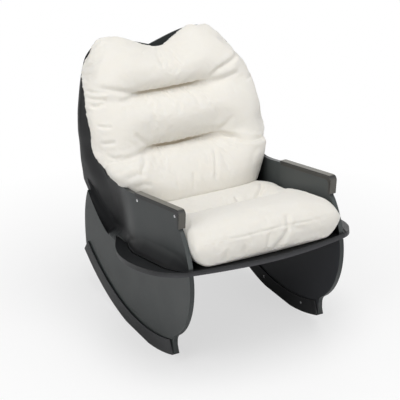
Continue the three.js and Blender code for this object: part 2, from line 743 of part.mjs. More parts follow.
// Seat cushion: two rolls across, flat underneath, its rear part carrying the back cushion
function seatCushionSolid() {
  const halfLength = seatCushionLength / 2;
  const middle = seatCushionFront + halfLength;
  const seam = seatCushionHeight * 0.45;
  const place = (a, b) => {
    const pull = 1 - 0.035 * (1 - b * b);
    const lean = 1 - 0.04 * a * a;
    const setback = middle + b * halfLength * (b < 0 ? lean : 1);
    const waist = seatCushionTaper * smooth((setback - armLength * 0.9) / (armLength * 0.3));
    const reach = innerHalfWidth - clearance * 2 - waist;
    return [a * reach * (b < 0 ? pull : 1), setback];
  };
  const crown = (a, b) => {
    const front = seatCushionHeight * (0.93 + 0.07 * (1 - a * a));
    const rear = seatCushionRearHeight;
    const blendShare = smooth((b + 0.35) / 0.75);
    const crease = (seatCreaseSetback - middle) / halfLength;
    const channel = 0.24 * dent(b - crease, 0.1) * (1 - smooth((Math.abs(a) - 0.55) / 0.4));
    return (front + (rear - front) * blendShare) * (1 - channel);
  };
  const upper = (a, b) => {
    const [x, y] = place(a, b);
    return [x, y, seam + (crown(a, b) - seam) * puff(a, 12) * puff(b, 10)];
  };
  const lower = (a, b) => {
    const [x, y] = place(a, b);
    return [x, y, seam - (seam - clearance) * Math.min(1, puff(a, 7) * 1.25) * Math.min(1, puff(b, 9) * 1.25)];
  };
  return pillow(seatRowShares, upper, lower);
}

// Back cushion: three rolls between two sewn channels, ears at the top corners, leaning on the support panel.
// Each row's front and side seam are shares of its reach, and its half width is a share of its widest
const backFrontShares = [
  [0, 0.6], [0.05, 0.55], [0.12, 0.56], [0.19, 0.58], [0.27, 0.67], [0.322, 0.75], [0.345, 0.748], [0.41, 0.72],
  [0.5, 0.72], [0.59, 0.76], [0.645, 0.826], [0.67, 0.824], [0.73, 0.795], [0.81, 0.815], [0.92, 0.89], [1, 0.965],
];
const backSeamShares = [
  [0, 0.72], [0.1, 0.69], [0.19, 0.66], [0.25, 0.675], [0.32, 0.73], [0.4, 0.765], [0.51, 0.78], [0.71, 0.85],
  [0.92, 0.96], [1, 0.985],
];
const backWidthShares = [
  [0, 0.72], [0.12, 0.75], [0.16, 0.81], [0.2, 0.885], [0.25, 0.95], [0.32, 0.985], [0.6, 1], [0.76, 0.96],
  [0.86, 0.9], [0.95, 0.81], [1, 0.74],
];
const earShares = [[0, -0.075], [0.3, -0.045], [0.66, 0.022], [0.82, 0.026], [0.93, 0], [1, -0.05]];

function backCushionSolid() {
  const bottom = seatCushionRearHeight + clearance * 2;
  const point = (a, b, front) => {
    const share = (b + 1) / 2;
    const ears = backCushionHeight * through(earShares, Math.abs(a)) * smooth((share - 0.66) / 0.34);
    const height = bottom + backCushionHeight * share + ears;
    const width = backCushionHalfWidth * through(backWidthShares, share);
    const rear = supportFaceAt(height) - clearance * 3;
    const crown = backCushionReach * through(backFrontShares, share);
    const seam = Math.min(rear, backCushionReach * through(backSeamShares, share));
    const ends = puff(b, 10);
    const within = Math.min(1, Math.abs(a * width) / (recessAt(height) - panelThickness * 1.3));
    const setback = front
      ? seam + (crown - seam) * puff(a, 5) * ends
      : seam + (rear - seam) * (1 - within ** 6) * ends;
    return [a * width, setback, height];
  };
  return pillow(backRowShares, (a, b) => point(a, b, true), (a, b) => point(a, b, false));
}

// Assembly
const chair = new THREE.Group();
const upper = new THREE.Group();
upper.rotation.x = -deckSlope;
upper.position.z = deckFrontHeight;

const sides = [['left', -1], ['right', 1]];
const railSetbacks = [['front', frontRailSetback], ['rear', rearRailSetback]];

sides.forEach(([name, side]) => {
  chair.add(named(`${name}_side_panel`, sidePanel(side), panelFinish));
  chair.add(named(`${name}_runner_rail`, runnerRail(side), railFinish));
});

// Each screw is a piece of its own, numbered from the front
function addScrews(group, stem, spec, places) {
  places.forEach(({ place, direction }, k) => {
    group.add(named(`${stem}_${k + 1}`, screw(spec, place, direction), steelFinish));
  });
}

const capScrews = sides.flatMap(([, side]) => capScrewPlaces(side));
const shellScrews = shellScrewPlaces();

upper.add(named('seat_deck', cutFrom(deckSolid(), deckScrew, shellScrews), deckFinish));
upper.add(named('back_shell', cutFrom(cutFrom(shellSolid(), capScrew, capScrews), deckScrew, shellScrews), shellFinish));
upper.add(named('back_support_panel', supportPanel(), shellFinish));
sides.forEach(([name, side]) => {
  upper.add(named(`${name}_arm_cap`, armCap(side), capFinish));
  addScrews(chair, `${name}_rail_screw`, railScrew, railScrewPlaces(side));
  addScrews(upper, `${name}_cap_screw`, capScrew, capScrewPlaces(side));
});
addScrews(upper, 'shell_screw', deckScrew, shellScrews);
railSetbacks.forEach(([place, setback]) => {
  upper.add(named(`${place}_cross_rail`, cutFrom(crossRail(setback), bracketScrew,
    sides.flatMap(([, side]) => bracketScrewPlaces(side, setback))), panelFinish));
  sides.forEach(([name, side]) => {
    upper.add(named(`${place}_${name}_bracket`, cutFrom(bracket(side, setback), bracketScrew,
      bracketScrewPlaces(side, setback)), bracketFinish));
    addScrews(upper, `${place}_${name}_bracket_screw`, bracketScrew, bracketScrewPlaces(side, setback));
  });
});
upper.add(named('seat_cushion', seatCushionSolid(), cottonFinish));
upper.add(named('back_cushion', backCushionSolid(), cottonFinish));

chair.add(upper);
chair.updateMatrixWorld(true);

const extent = new THREE.Box3().setFromObject(chair, true);
const placed = new THREE.Group();
chair.position.set(0, -(extent.min.y + extent.max.y) / 2, -extent.min.z);
placed.add(chair);

export default placed;
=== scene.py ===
"""Rocking armchair on curved runners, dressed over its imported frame. Metres, +Z up, front towards -Y."""
from math import asin, cos, pi, radians, sin

import bmesh
import bpy
import numpy as np
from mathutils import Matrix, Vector
from mathutils.bvhtree import BVHTree


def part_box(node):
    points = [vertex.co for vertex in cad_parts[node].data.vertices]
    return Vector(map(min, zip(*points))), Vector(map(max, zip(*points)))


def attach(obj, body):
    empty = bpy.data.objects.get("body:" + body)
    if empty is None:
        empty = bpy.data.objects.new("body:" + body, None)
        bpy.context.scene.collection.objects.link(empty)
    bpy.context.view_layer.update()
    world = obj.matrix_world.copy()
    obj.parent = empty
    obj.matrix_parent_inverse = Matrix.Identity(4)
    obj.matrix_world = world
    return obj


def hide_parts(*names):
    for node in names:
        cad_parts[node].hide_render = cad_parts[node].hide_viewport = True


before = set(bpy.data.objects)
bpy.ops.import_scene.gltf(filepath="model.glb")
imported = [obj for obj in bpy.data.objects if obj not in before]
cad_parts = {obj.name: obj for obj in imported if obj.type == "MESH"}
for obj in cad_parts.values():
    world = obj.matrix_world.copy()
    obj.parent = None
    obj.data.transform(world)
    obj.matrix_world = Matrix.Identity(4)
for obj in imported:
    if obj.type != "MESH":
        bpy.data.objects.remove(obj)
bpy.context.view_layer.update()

# Camera. Stands in front of the chair and to its left, a little above it, with a long lens.
camera_turn = radians(-28.544)
camera_height = radians(24.5)
chair_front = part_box("seat_deck")[0].y
camera_data = bpy.data.cameras.new("camera")
camera_data.lens = 133.5
camera_data.sensor_width = 36
camera = bpy.data.objects.new("camera", camera_data)
camera.location = (-2.3957, chair_front - 3.858, 2.7134)
camera.rotation_euler = (pi / 2 - camera_height, 0, camera_turn)
bpy.context.scene.collection.objects.link(camera)
bpy.context.scene.camera = camera

# Deck. A satin dark board tilted back, bowed at the front, with a half-round shelf outside each side
# panel. Its edges are rounded over by a small radius. Everything above it is measured along it.
deck_tilt = radians(11)
deck_front_bow = 0.062 * 0.8
deck_thickness = 0.018
deck_edge_radius = 0.0035
deck_band_light_fade = 0.003
deck_low, deck_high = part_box("seat_deck")
deck_origin = Vector((
    0,
    deck_low.y + deck_front_bow * cos(deck_tilt) + deck_thickness * sin(deck_tilt),
    deck_high.z - deck_front_bow * sin(deck_tilt)))
deck_normal = (0, sin(deck_tilt), cos(deck_tilt))
back_along = (0, cos(deck_tilt), -sin(deck_tilt))


def on_deck(points):
    """Rows of (across, back along the deck, up from the deck), moved to the row frame."""
    across, back, up = np.asarray(points, float).reshape(-1, 3).T
    return np.stack([
        across,
        deck_origin.y + back * cos(deck_tilt) + up * sin(deck_tilt),
        deck_origin.z - back * sin(deck_tilt) + up * cos(deck_tilt)], 1)


def along_deck(points):
    """Rows in the row frame, measured across, back along the deck and up from it."""
    x, y, z = np.asarray(points, float).reshape(-1, 3).T
    y, z = y - deck_origin.y, z - deck_origin.z
    return np.stack([x, y * cos(deck_tilt) - z * sin(deck_tilt), y * sin(deck_tilt) + z * cos(deck_tilt)], 1)


def points_of(piece, kind="co"):
    """The piece's points, or with "normal" their directions."""
    flat = np.empty(len(piece.data.vertices) * 3)
    piece.data.vertices.foreach_get(kind, flat)
    return flat.reshape(-1, 3)


def put_points(piece, points):
    piece.data.vertices.foreach_set("co", np.ascontiguousarray(points).ravel())
    piece.data.update()


def mark(piece, name, values, kind="FLOAT"):
    """Keeps one value for each point on the mesh, for a material or a node tree to read."""
    kept = piece.data.attributes
    attribute = kept.get(name) or kept.new(name, kind, "POINT")
    attribute.data.foreach_set("value" if kind == "FLOAT" else "vector", np.ravel(values))


def settled(piece):
    """The piece's modifiers made part of its mesh."""
    graph = bpy.context.evaluated_depsgraph_get()
    mesh = bpy.data.meshes.new_from_object(piece.evaluated_get(graph))
    piece.modifiers.clear()
    piece.data = mesh
    return piece


def new_piece(name, points, faces):
    mesh = bpy.data.meshes.new(name)
    mesh.from_pydata([tuple(p) for p in points], [], [tuple(f) for f in faces])
    mesh.update()
    piece = bpy.data.objects.new(name, mesh)
    bpy.context.scene.collection.objects.link(piece)
    return piece


def smooth_shaded(piece):
    piece.data.polygons.foreach_set("use_smooth", [True] * len(piece.data.polygons))
    return piece


def faced_out(piece, merge=0.0):
    """Turns the faces outwards, after points closer than a distance are merged."""
    work = bmesh.new()
    work.from_mesh(piece.data)
    if merge:
        bmesh.ops.remove_doubles(work, verts=work.verts, dist=merge)
    bmesh.ops.recalc_face_normals(work, faces=work.faces)
    work.to_mesh(piece.data)
    work.free()
    return piece


def ease_edges(piece, radius, steps=3, angle=35, marked=False):
    """Rounds the sharp or marked edges over and keeps the flat faces flat in the shading."""
    bevel = piece.modifiers.new("rounded_edges", "BEVEL")
    bevel.width = radius
    bevel.segments = steps
    bevel.limit_method = "WEIGHT" if marked else "ANGLE"
    bevel.angle_limit = radians(angle)
    normals = piece.modifiers.new("flat_faces", "WEIGHTED_NORMAL")
    normals.keep_sharp = True
    return settled(smooth_shaded(piece))


def rounded_copy(node, radius):
    """A copy of a CAD node with its doubles merged, its flat faces whole and its edges rounded."""
    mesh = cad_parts[node].data.copy()
    piece = bpy.data.objects.new(node + "_shown", mesh)
    bpy.context.scene.collection.objects.link(piece)
    work = bmesh.new()
    work.from_mesh(mesh)
    bmesh.ops.remove_doubles(work, verts=work.verts, dist=2e-5)
    bmesh.ops.dissolve_limit(work, angle_limit=radians(0.4), verts=work.verts, edges=work.edges)
    work.to_mesh(mesh)
    work.free()
    return ease_edges(piece, radius)


def finished(piece, body, slot, material, *nodes):
    """Gives the piece its finish and its place on the chair."""
    piece.data.materials.clear()
    piece.data.materials.append(material)
    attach(piece, body)
    if nodes:
        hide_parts(*nodes)
    return piece


def wire(tree, node, inputs):
    """Sets or links a node's inputs: each to a value, a socket, a node's first output or a list of them."""
    for name, value in inputs.items():
        for source in value if isinstance(value, list) else [value]:
            if isinstance(source, bpy.types.Node):
                source = next(socket for socket in source.outputs if socket.enabled)
            if isinstance(source, bpy.types.NodeSocket):
                tree.links.new(source, node.inputs[name])
            else:
                node.inputs[name].default_value = source
    return node


def adder(tree):
    """A call that adds a node to the tree with its settings and its inputs."""
    def add(kind, inputs=None, **settings):
        node = tree.nodes.new(kind)
        for name, value in settings.items():
            setattr(node, name, value)
        return wire(tree, node, inputs or {})
    return add


def new_tree(name, kind, inputs, outputs):
    """An empty node group with named inputs and outputs, its adder and its inputs' sockets."""
    tree = bpy.data.node_groups.new(name, kind)
    for socket_name, socket_kind, value in inputs:
        socket = tree.interface.new_socket(socket_name, in_out="INPUT", socket_type="NodeSocket" + socket_kind)
        if value is not None:
            socket.default_value = value
    for socket_name, socket_kind in outputs:
        tree.interface.new_socket(socket_name, in_out="OUTPUT", socket_type="NodeSocket" + socket_kind)
    add = adder(tree)
    return tree, add, add("NodeGroupInput").outputs


surface_outputs = (("Colour", "Color"), ("Roughness", "Float"), ("Normal", "Vector"))


def coated(name, group, values, shine):
    """A material that takes its colour, roughness and normal from a surface group set to these values."""
    material = bpy.data.materials.new(name)
    material.use_nodes = True
    tree = material.node_tree
    surface = adder(tree)("ShaderNodeGroup", values, node_tree=group).outputs
    wire(tree, tree.nodes["Principled BSDF"], {
        "Base Color": surface["Colour"], "Roughness": surface["Roughness"], "Normal": surface["Normal"], **shine})
    return material


def moulded_surface_group():
    """Fine moulded grain, soft marks, edges worn a little lighter, and painted light: a paler colour where the
    mesh's painted light mark says so.
    """
    group, add, given = new_tree("moulded_surface", "ShaderNodeTree", (
        ("Colour", "Color", (0.02, 0.02, 0.02, 1)),
        ("Handled colour", "Color", (0.03, 0.03, 0.03, 1)),
        ("Roughness", "Float", 0.4),
        ("Grain size", "Float", 900),
        ("Grain depth", "Float", 0.1)), surface_outputs)
    place = add("ShaderNodeTexCoord").outputs["Object"]
    grain = add("ShaderNodeTexNoise", {"Vector": place, "Scale": given["Grain size"], "Detail": 3})
    marks = add("ShaderNodeTexNoise", {"Vector": place, "Scale": 7, "Detail": 6, "Roughness": 0.62})
    uneven = add("ShaderNodeMapRange", {
        "Value": marks, "From Min": 0.35, "From Max": 0.7, "To Min": -0.045, "To Max": 0.05})
    sheen = add("ShaderNodeMath", {0: given["Roughness"], 1: uneven}, operation="ADD")
    bend = add("ShaderNodeNewGeometry").outputs["Pointiness"]
    edge = add("ShaderNodeMapRange", {"Value": bend, "From Min": 0.52, "From Max": 0.62, "To Max": 0.35})
    # Painted light: where the mesh's mark is set, the colour is mixed towards a paler one that stands in for light
    # falling there.
    painted_light_amount = add("ShaderNodeAttribute", attribute_name="painted_light")
    painted_light_tone = add("ShaderNodeMix", {
        "Factor": painted_light_amount.outputs["Fac"], "A": given["Colour"], "B": given["Handled colour"]}, data_type="RGBA")
    worn = add("ShaderNodeMix", {"Factor": edge, "A": painted_light_tone, "B": (0.075, 0.075, 0.078, 1)}, data_type="RGBA")
    level = add("ShaderNodeMapRange", {"Value": marks, "To Min": 0.82, "To Max": 1.2})
    tone = add("ShaderNodeHueSaturation", {"Value": level, "Color": worn})
    bump = add("ShaderNodeBump", {"Distance": 0.0004, "Strength": given["Grain depth"], "Height": grain})
    add("NodeGroupOutput", {"Colour": tone, "Roughness": sheen, "Normal": bump})
    return group


moulded_surface = moulded_surface_group()


def moulded(name, colour, roughness, grain_depth=0.12, grain_size=900, gloss=0.5, painted_light=(0.03, 0.03, 0.03)):
    """Dark moulded plastic with its own colour, gloss and grain, with painted light: paler where its mesh's
    painted light mark says so.
    """
    return coated(name, moulded_surface, {
        "Colour": (*colour, 1), "Handled colour": (*painted_light, 1), "Roughness": roughness,
        "Grain size": grain_size, "Grain depth": grain_depth}, {"Specular IOR Level": gloss})


deck_finish = moulded("deck_satin", (0.0075, 0.0085, 0.0095), 0.45, gloss=0.4, painted_light=(0.052, 0.052, 0.057))
deck_board = rounded_copy("seat_deck", deck_edge_radius)
# Painted light: the deck's forward-facing front band gets the paler colour, as if lit from the front.
front_painted_light = np.clip(-points_of(deck_board, "normal")[:, 1] * 1.6, 0, 1)
mark(deck_board, "painted_light", front_painted_light * np.clip(-along_deck(points_of(deck_board))[:, 2] / deck_band_light_fade, 0, 1))
finished(deck_board, "frame", "deck", deck_finish, "seat_deck")

# Side panels. Two thick boards on edge that carry the deck; satin dark moulded plastic with softened
# edges, screwed to the cross rails by angle brackets and pressed into the runner rails.
panel_thickness = 0.017
panel_edge_radius = 0.0028
panel_finish = moulded("panel_satin", (0.02, 0.026, 0.0255), 0.38, painted_light=(0.034, 0.036, 0.042))
for node in ("left_side_panel", "right_side_panel"):
    board = rounded_copy(node, panel_edge_radius)
    # Painted light: the panels' inward-facing faces get the paler colour, as if more light fell on them.
    inner_face_painted_light = -points_of(board, "normal")[:, 0] * np.where(points_of(board)[:, 0] > 0, 1, -1)
    mark(board, "painted_light", np.clip(inner_face_painted_light, 0, 1))
    finished(board, "frame", "panel", panel_finish, node)

# Runner rails. A U channel swept along the rocking arc and pressed over each panel's lower edge; the
# chair stands and rocks on its rounded underside. Near-black plastic, ends cut square and eased.
rocker_radius = 0.7715
rocker_middle_back = 0.397
rocker_middle_drop = 0.432
rail_height = 0.057
rail_web = 0.004
rail_fit = 0.0003
rail_edge_radius = 0.0016
rail_finish = moulded("rail_satin", (0.012, 0.013, 0.0145), 0.43)


def times(add, socket, factor):
    return add("ShaderNodeMath", {0: socket, 1: factor}, operation="MULTIPLY")


def realised(add, mesh, given):
    """Ends a tree: its instances made real, in the tree's finish."""
    whole = add("GeometryNodeRealizeInstances", {"Geometry": mesh})
    coat = add("GeometryNodeSetMaterial", {"Geometry": whole, "Material": given["Finish"]})
    add("NodeGroupOutput", {"Geometry": coat})


def rail_sweep_tree():
    """An arc with a channel profile swept along it, both set by named sizes."""
    tree, add, given = new_tree("rail_sweep", "GeometryNodeTree", (
        ("Arc radius", "Float", rocker_radius),
        ("Start angle", "Float", 0.0),
        ("Sweep angle", "Float", 1.0),
        ("Half width", "Float", 0.014),
        ("Channel half width", "Float", 0.009),
        ("Height", "Float", rail_height),
        ("Web", "Float", rail_web),
        ("Finish", "Material", None)), (("Geometry", "Geometry"),))
    arc = add("GeometryNodeCurveArc", {"Resolution": 97, "Radius": given["Arc radius"],
                                       "Start Angle": given["Start angle"], "Sweep Angle": given["Sweep angle"]})
    corners = (("-Half width", ""), ("Half width", ""), ("Half width", "Height"), ("Channel half width", "Height"),
               ("Channel half width", "Web"), ("-Channel half width", "Web"), ("-Channel half width", "Height"),
               ("-Half width", "Height"))
    shaped = add("GeometryNodeMeshCircle", {"Vertices": len(corners)})
    for k, (across, level) in enumerate(corners):
        sizes = {"Y": times(add, given[across.lstrip("-")], -1 if across.startswith("-") else 1)}
        if level:
            sizes["X"] = times(add, given[level], -1)
        this = add("FunctionNodeCompare", {"A": add("GeometryNodeInputIndex"), "B": k},
                   data_type="INT", operation="EQUAL")
        shaped = add("GeometryNodeSetPosition", {
            "Geometry": shaped, "Selection": this, "Position": add("ShaderNodeCombineXYZ", sizes)})
    outline = add("GeometryNodeMeshToCurve", {"Mesh": shaped})
    swept = add("GeometryNodeCurveToMesh", {"Curve": arc, "Profile Curve": outline, "Fill Caps": True})
    realised(add, swept, given)
    return tree


rail_sweep = rail_sweep_tree()


def grown(piece, tree, values):
    """Runs a Geometry Nodes tree on the piece, its inputs set by their sockets' identifiers."""
    modifier = piece.modifiers.new(tree.name, "NODES")
    modifier.node_group = tree
    sockets = {s.name: s.identifier for s in tree.interface.items_tree if s.in_out == "INPUT"}
    for name, value in values.items():
        modifier[sockets[name]] = value
    return settled(piece)


for node in ("left_runner_rail", "right_runner_rail"):
    low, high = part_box(node)
    arc_middle = Vector((
        (low.x + high.x) / 2,
        deck_origin.y + rocker_middle_back,
        deck_origin.z - rocker_middle_drop + rocker_radius))
    start, end = (asin((reach - arc_middle.y) / rocker_radius) for reach in (low.y, high.y))
    piece = grown(new_piece(node + "_shown", [(0, 0, 0)], []), rail_sweep, {
        "Start angle": start, "Sweep angle": end - start, "Finish": rail_finish,
        "Half width": (high.x - low.x) / 2, "Channel half width": panel_thickness / 2 + rail_fit})
    swept = points_of(piece)
    across, radial = swept[:, 2], np.hypot(swept[:, 0], swept[:, 1])
    angle = np.arctan2(swept[:, 1], swept[:, 0])
    height = np.maximum(0, arc_middle.z - radial * np.cos(angle))
    put_points(piece, np.stack([arc_middle.x + across, arc_middle.y + radial * np.sin(angle), height], 1))
    ease_edges(faced_out(piece, 1e-6), rail_edge_radius)
    finished(piece, "frame", "rail", rail_finish, node)

# Cross rails and angle brackets. Two bars under the deck tie the side panels together, held at each
# end by a folded steel angle with a dark powder coat.
cross_rail_edge_radius = 0.0015
bracket_edge_radius = 0.0007
bracket_finish = moulded("bracket_coat", (0.03, 0.03, 0.032), 0.5, 0.35, 1600)
for place in ("front", "rear"):
    node = place + "_cross_rail"
    finished(rounded_copy(node, cross_rail_edge_radius), "frame", "panel", panel_finish, node)
    for side in ("left", "right"):
        node = f"{place}_{side}_bracket"
        finished(rounded_copy(node, bracket_edge_radius), "frame", "bracket", bracket_finish, node)

# Shell. Arms, wings and back moulded in one piece of satin dark plastic. The arm's foot flares out in
# a cove over the shelf, an upright recess runs behind each arm, and the rim rises into the wings.
shell_half_width = 0.334
shell_depth = 0.9
shell_height = 0.699
shell_dip_height = 0.653
shell_corner = 0.08
shell_wall = 0.007
shell_lift = 0.0003
shell_edge_radius = 0.0028
back_bow = 0.008
arm_half_width = 0.31
arm_height = 0.202
arm_length = 0.43
arm_front_rake = 0.049
cove_radius = 0.05
shelf_shown = 0.6
fillet_start = 0.578
fillet_height = 0.034
fillet_half_width = 0.3105
bend_start = 0.4
recess_middle = 0.65
wing_shown = 0.775
shelf_reach = 0.103
shelf_widest = 0.25
shelf_end = 0.588
arm_front_shares = ((0, 0.02), (0.2, 0.14), (0.42, 0.41), (0.6, 0.75), (0.7, 1), (0.8, 0.98), (1, 0.72))
width_shares = ((0, 0.838), (0.1, 0.855), (0.2, 0.873), (0.25, 0.9), (0.31, 0.939), (0.38, 0.968), (0.47, 0.987),
                (0.55, 1), (0.63, 0.997), (0.72, 0.979), (0.82, 0.949), (0.92, 0.895), (1, 0.82))
recess_shares = ((0, 0.877), (0.14, 0.89), (0.29, 0.935), (0.37, 0.975), (0.46, 1.01), (0.53, 1.04), (1, 1.06))
depth_shares = ((0, 0.828), (0.05, 0.872), (0.09, 0.903), (0.135, 0.941), (0.185, 0.98), (0.235, 0.995),
                (0.31, 0.969), (0.55, 0.934), (0.92, 0.878), (1, 0.869))
corner_shares = ((0, 0.3), (0.2, 0.5), (0.36, 0.8), (0.5, 1))
rim_side_shares = ((0, 0.289), (0.12, 0.293), (0.22, 0.309), (0.3, 0.38), (0.5, 0.535), (0.75, 0.7), (0.93, 0.815),
                   (1, 0.86))


def through(table, places):
    """A smooth curve through (place, value) rows, flat outside them."""
    x, v = np.array(table, float).T
    rise = np.diff(v) / np.diff(x)
    slope = np.zeros(len(x))
    before, after = rise[:-1], rise[1:]
    same = before * after > 0
    slope[1:-1][same] = 2 * before[same] * after[same] / (before[same] + after[same])
    p = np.clip(places, x[0], x[-1])
    k = np.clip(np.searchsorted(x, p, side="right") - 1, 0, len(x) - 2)
    span = x[k + 1] - x[k]
    t = (p - x[k]) / span
    return ((2 * t ** 3 - 3 * t ** 2 + 1) * v[k] + (t ** 3 - 2 * t ** 2 + t) * span * slope[k]
            + (3 * t ** 2 - 2 * t ** 3) * v[k + 1] + (t ** 3 - t ** 2) * span * slope[k + 1])


def smooth(t):
    u = np.clip(t, 0, 1)
    return u * u * (3 - 2 * u)


def wing_half_width(height):
    return shell_half_width * through(width_shares, height / shell_height)


def recess_half_width(height):
    return np.minimum(arm_half_width * through(recess_shares, height / shell_height), wing_half_width(height))


def side_half_width(back, height):
    recess, wing = recess_half_width(height), wing_half_width(height)
    into = arm_half_width + (recess - arm_half_width) * smooth((back - bend_start) / (recess_middle - bend_start))
    out = recess + (wing - recess) * smooth((back - recess_middle) / (wing_shown - recess_middle))
    return np.where(back <= recess_middle, into, out)


def shell_outline(part, t, height):
    """A point of the shell's outside plan: part of its run, share along it, and height."""
    share = height / shell_height
    if part == "arm":
        front = arm_front_rake * through(arm_front_shares, height / arm_height)
        back = front + (arm_length - front) * t
        return side_half_width(back, height), back
    depth = shell_depth * through(depth_shares, share)
    width = wing_half_width(height)
    corner = shell_corner * through(corner_shares, share)
    corner_start = depth - corner
    if part == "side":
        back = arm_length + (corner_start - arm_length) * t
        return side_half_width(back, height), back
    if part == "corner":
        return width - corner * (1 - cos(t * pi / 2)), corner_start + corner * sin(t * pi / 2)
    return (width - corner) * (1 - t), depth + back_bow * (1 - (1 - t) ** 2)


def shell_rim(part, t):
    side_top = arm_height + (rim_side_shares[-1][1] - rim_side_shares[0][1]) * shell_height
    if part == "arm":
        return arm_height
    if part == "side":
        return arm_height + (float(through(rim_side_shares, t)) - rim_side_shares[0][1]) * shell_height
    if part == "corner":
        return side_top + (shell_height - side_top) * sin(t * pi / 2)
    return shell_height + (shell_dip_height - shell_height) * float(smooth(t * 0.5)) * 2


def shelf_width(back):
    front = np.clip(back / shelf_widest, 0, 1)
    rear = smooth((shelf_end - back) / (shelf_end - shelf_widest))
    return shelf_reach * np.where(back < shelf_widest, np.sqrt(front * (2 - front)), rear)


def painted_light_on_shell(piece):
    """Marks painted light on the shell: a paler colour on the arms' faces, the ridge behind them and the back
    between its ears, while the arms' foot and the recess keep the near-black colour as painted shade."""
    across, back, up = along_deck(points_of(piece)).T
    sideways, rearwards = points_of(piece, "normal").T[:2]
    inner = 0.4 * smooth(-np.sign(across) * sideways * 2)
    edge = smooth(-rearwards * 1.4 - 0.2) * (back < arm_front_rake + 0.02)
    arms_painted_light = (0.56 + np.maximum(inner, 0.36 * edge)) * smooth((0.56 - back) / 0.14)
    arms_painted_light = arms_painted_light * smooth((up - 0.004) / (0.07 - 0.06 * edge))
    ridge_painted_light = np.exp(-((up + 0.004) / 0.016) ** 2) * smooth((back - 0.5) / 0.05) * smooth((0.66 - back) / 0.04)
    ears_painted_light = 0.8 * smooth((up - 0.57) / 0.03) * (np.abs(across) < 0.25)
    mark(piece, "painted_light", np.maximum(np.maximum(arms_painted_light, ridge_painted_light * 0.56), ears_painted_light))
    return piece


def shell_columns(rows):
    """The shell's left half: columns of points from foot to rim on its outside and on its inside."""
    run = [("arm", k / 30) for k in range(30)] + [("side", k / 40) for k in range(40)]
    run += [("corner", k / 14) for k in range(14)] + [("back", k / 14) for k in range(15)]
    lift = (np.arange(rows + 1) / rows) ** 1.25
    outer, inner = [], []
    for k, (part, t) in enumerate(run):
        height = shell_lift + (shell_rim(part, t) - shell_lift) * lift
        near = [run[min(max(0, j), len(run) - 1)] for j in (k, k - 1, k + 1)]
        (x, back), before, after = ([v + 0 * height for v in shell_outline(*place, height)] for place in near)
        step = np.hypot(after[0] - before[0], after[1] - before[1])
        normal = ((after[1] - before[1]) / step, -(after[0] - before[0]) / step)
        if part == "arm":
            normal = (1, 0)
        if k == len(run) - 1:
            normal = (0, 1)
        thinner = {"arm": 0, "side": float(smooth(t * 2))}.get(part)
        thick = shell_wall if thinner is None else panel_thickness + (shell_wall - panel_thickness) * thinner
        shelf = shelf_width(back) * shelf_shown
        cove = np.maximum(np.minimum(cove_radius, shelf), 1e-6)
        sweep = smooth((back - arm_length) / 0.07) * smooth((fillet_start + 0.03 - back) / 0.02)
        tall = np.maximum(cove, fillet_height * sweep)
        reach = np.maximum(cove, (fillet_half_width - x + shelf) * sweep)
        rest = np.clip(1 - (height - shell_lift) / tall, 0, 1)
        flare = reach * (1 - np.sqrt(1 - rest * rest * 0.995))
        outer.append(np.stack([x + flare, back, height], 1))
        inner.append(np.stack([x - normal[0] * thick, back - normal[1] * thick, height], 1))
    return outer, inner


def shell_piece(rows=46):
    """Both halves of the shell as a closed mesh, its rim and its arms' front ends rounded over."""
    skins = [half + [column * (-1, 1, 1) for column in half[-2::-1]] for half in shell_columns(rows)]
    columns, size = len(skins[0]), rows + 1
    shift = columns * size
    faces = []
    for a in range(0, shift - size, size):
        b = a + size
        for r in range(rows):
            faces.append((a + r, b + r, b + r + 1, a + r + 1))
            faces.append((shift + a + r, shift + a + r + 1, shift + b + r + 1, shift + b + r))
        faces.append((a, shift + a, shift + b, b))
        faces.append((a + rows, b + rows, shift + b + rows, shift + a + rows))
    for a in (0, shift - size):
        faces += [(a + r, a + r + 1, shift + a + r + 1, shift + a + r) for r in range(rows)]
    piece = faced_out(new_piece("back_shell_shown", on_deck(np.concatenate(skins[0] + skins[1])), faces))
    ends = np.empty(len(piece.data.edges) * 2, np.int32)
    piece.data.edges.foreach_get("vertices", ends)
    row, column = (ends % size).reshape(-1, 2), (ends // size % columns).reshape(-1, 2)
    open_edge = (row == rows).all(1) | (column == 0).all(1) | (column == columns - 1).all(1)
    weights = piece.data.attributes.new("bevel_weight_edge", "FLOAT", "EDGE")
    weights.data.foreach_set("value", open_edge.astype(np.float32))
    return painted_light_on_shell(ease_edges(piece, shell_edge_radius, marked=True))


# Painted light and shade: the pale colour on the arms against the near-black base stands in for light on the arms
# and shade in the recess, cove and wings.
shell_finish = moulded("shell_satin", (0.0055, 0.006, 0.007), 0.38, gloss=0.22, painted_light=(0.075, 0.084, 0.084))
finished(shell_piece(), "frame", "shell", shell_finish, "back_shell")

# Shell fillets. Where the recess behind each arm runs out, the same plastic turns outwards in a hollow
# sweep to the side panel's outer face, from the shelf's rear end up along the panel's edge to its ear.
fillet_end = 0.812
fillet_bulge = 0.013
panel_edge = along_deck(points_of(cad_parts["left_side_panel"]))
panel_edge = panel_edge[(panel_edge[:, 1] > 0.6) & (panel_edge[:, 1] < 0.809) & (panel_edge[:, 2] > -0.02)]
panel_edge = panel_edge[np.argsort(panel_edge[:, 1])]


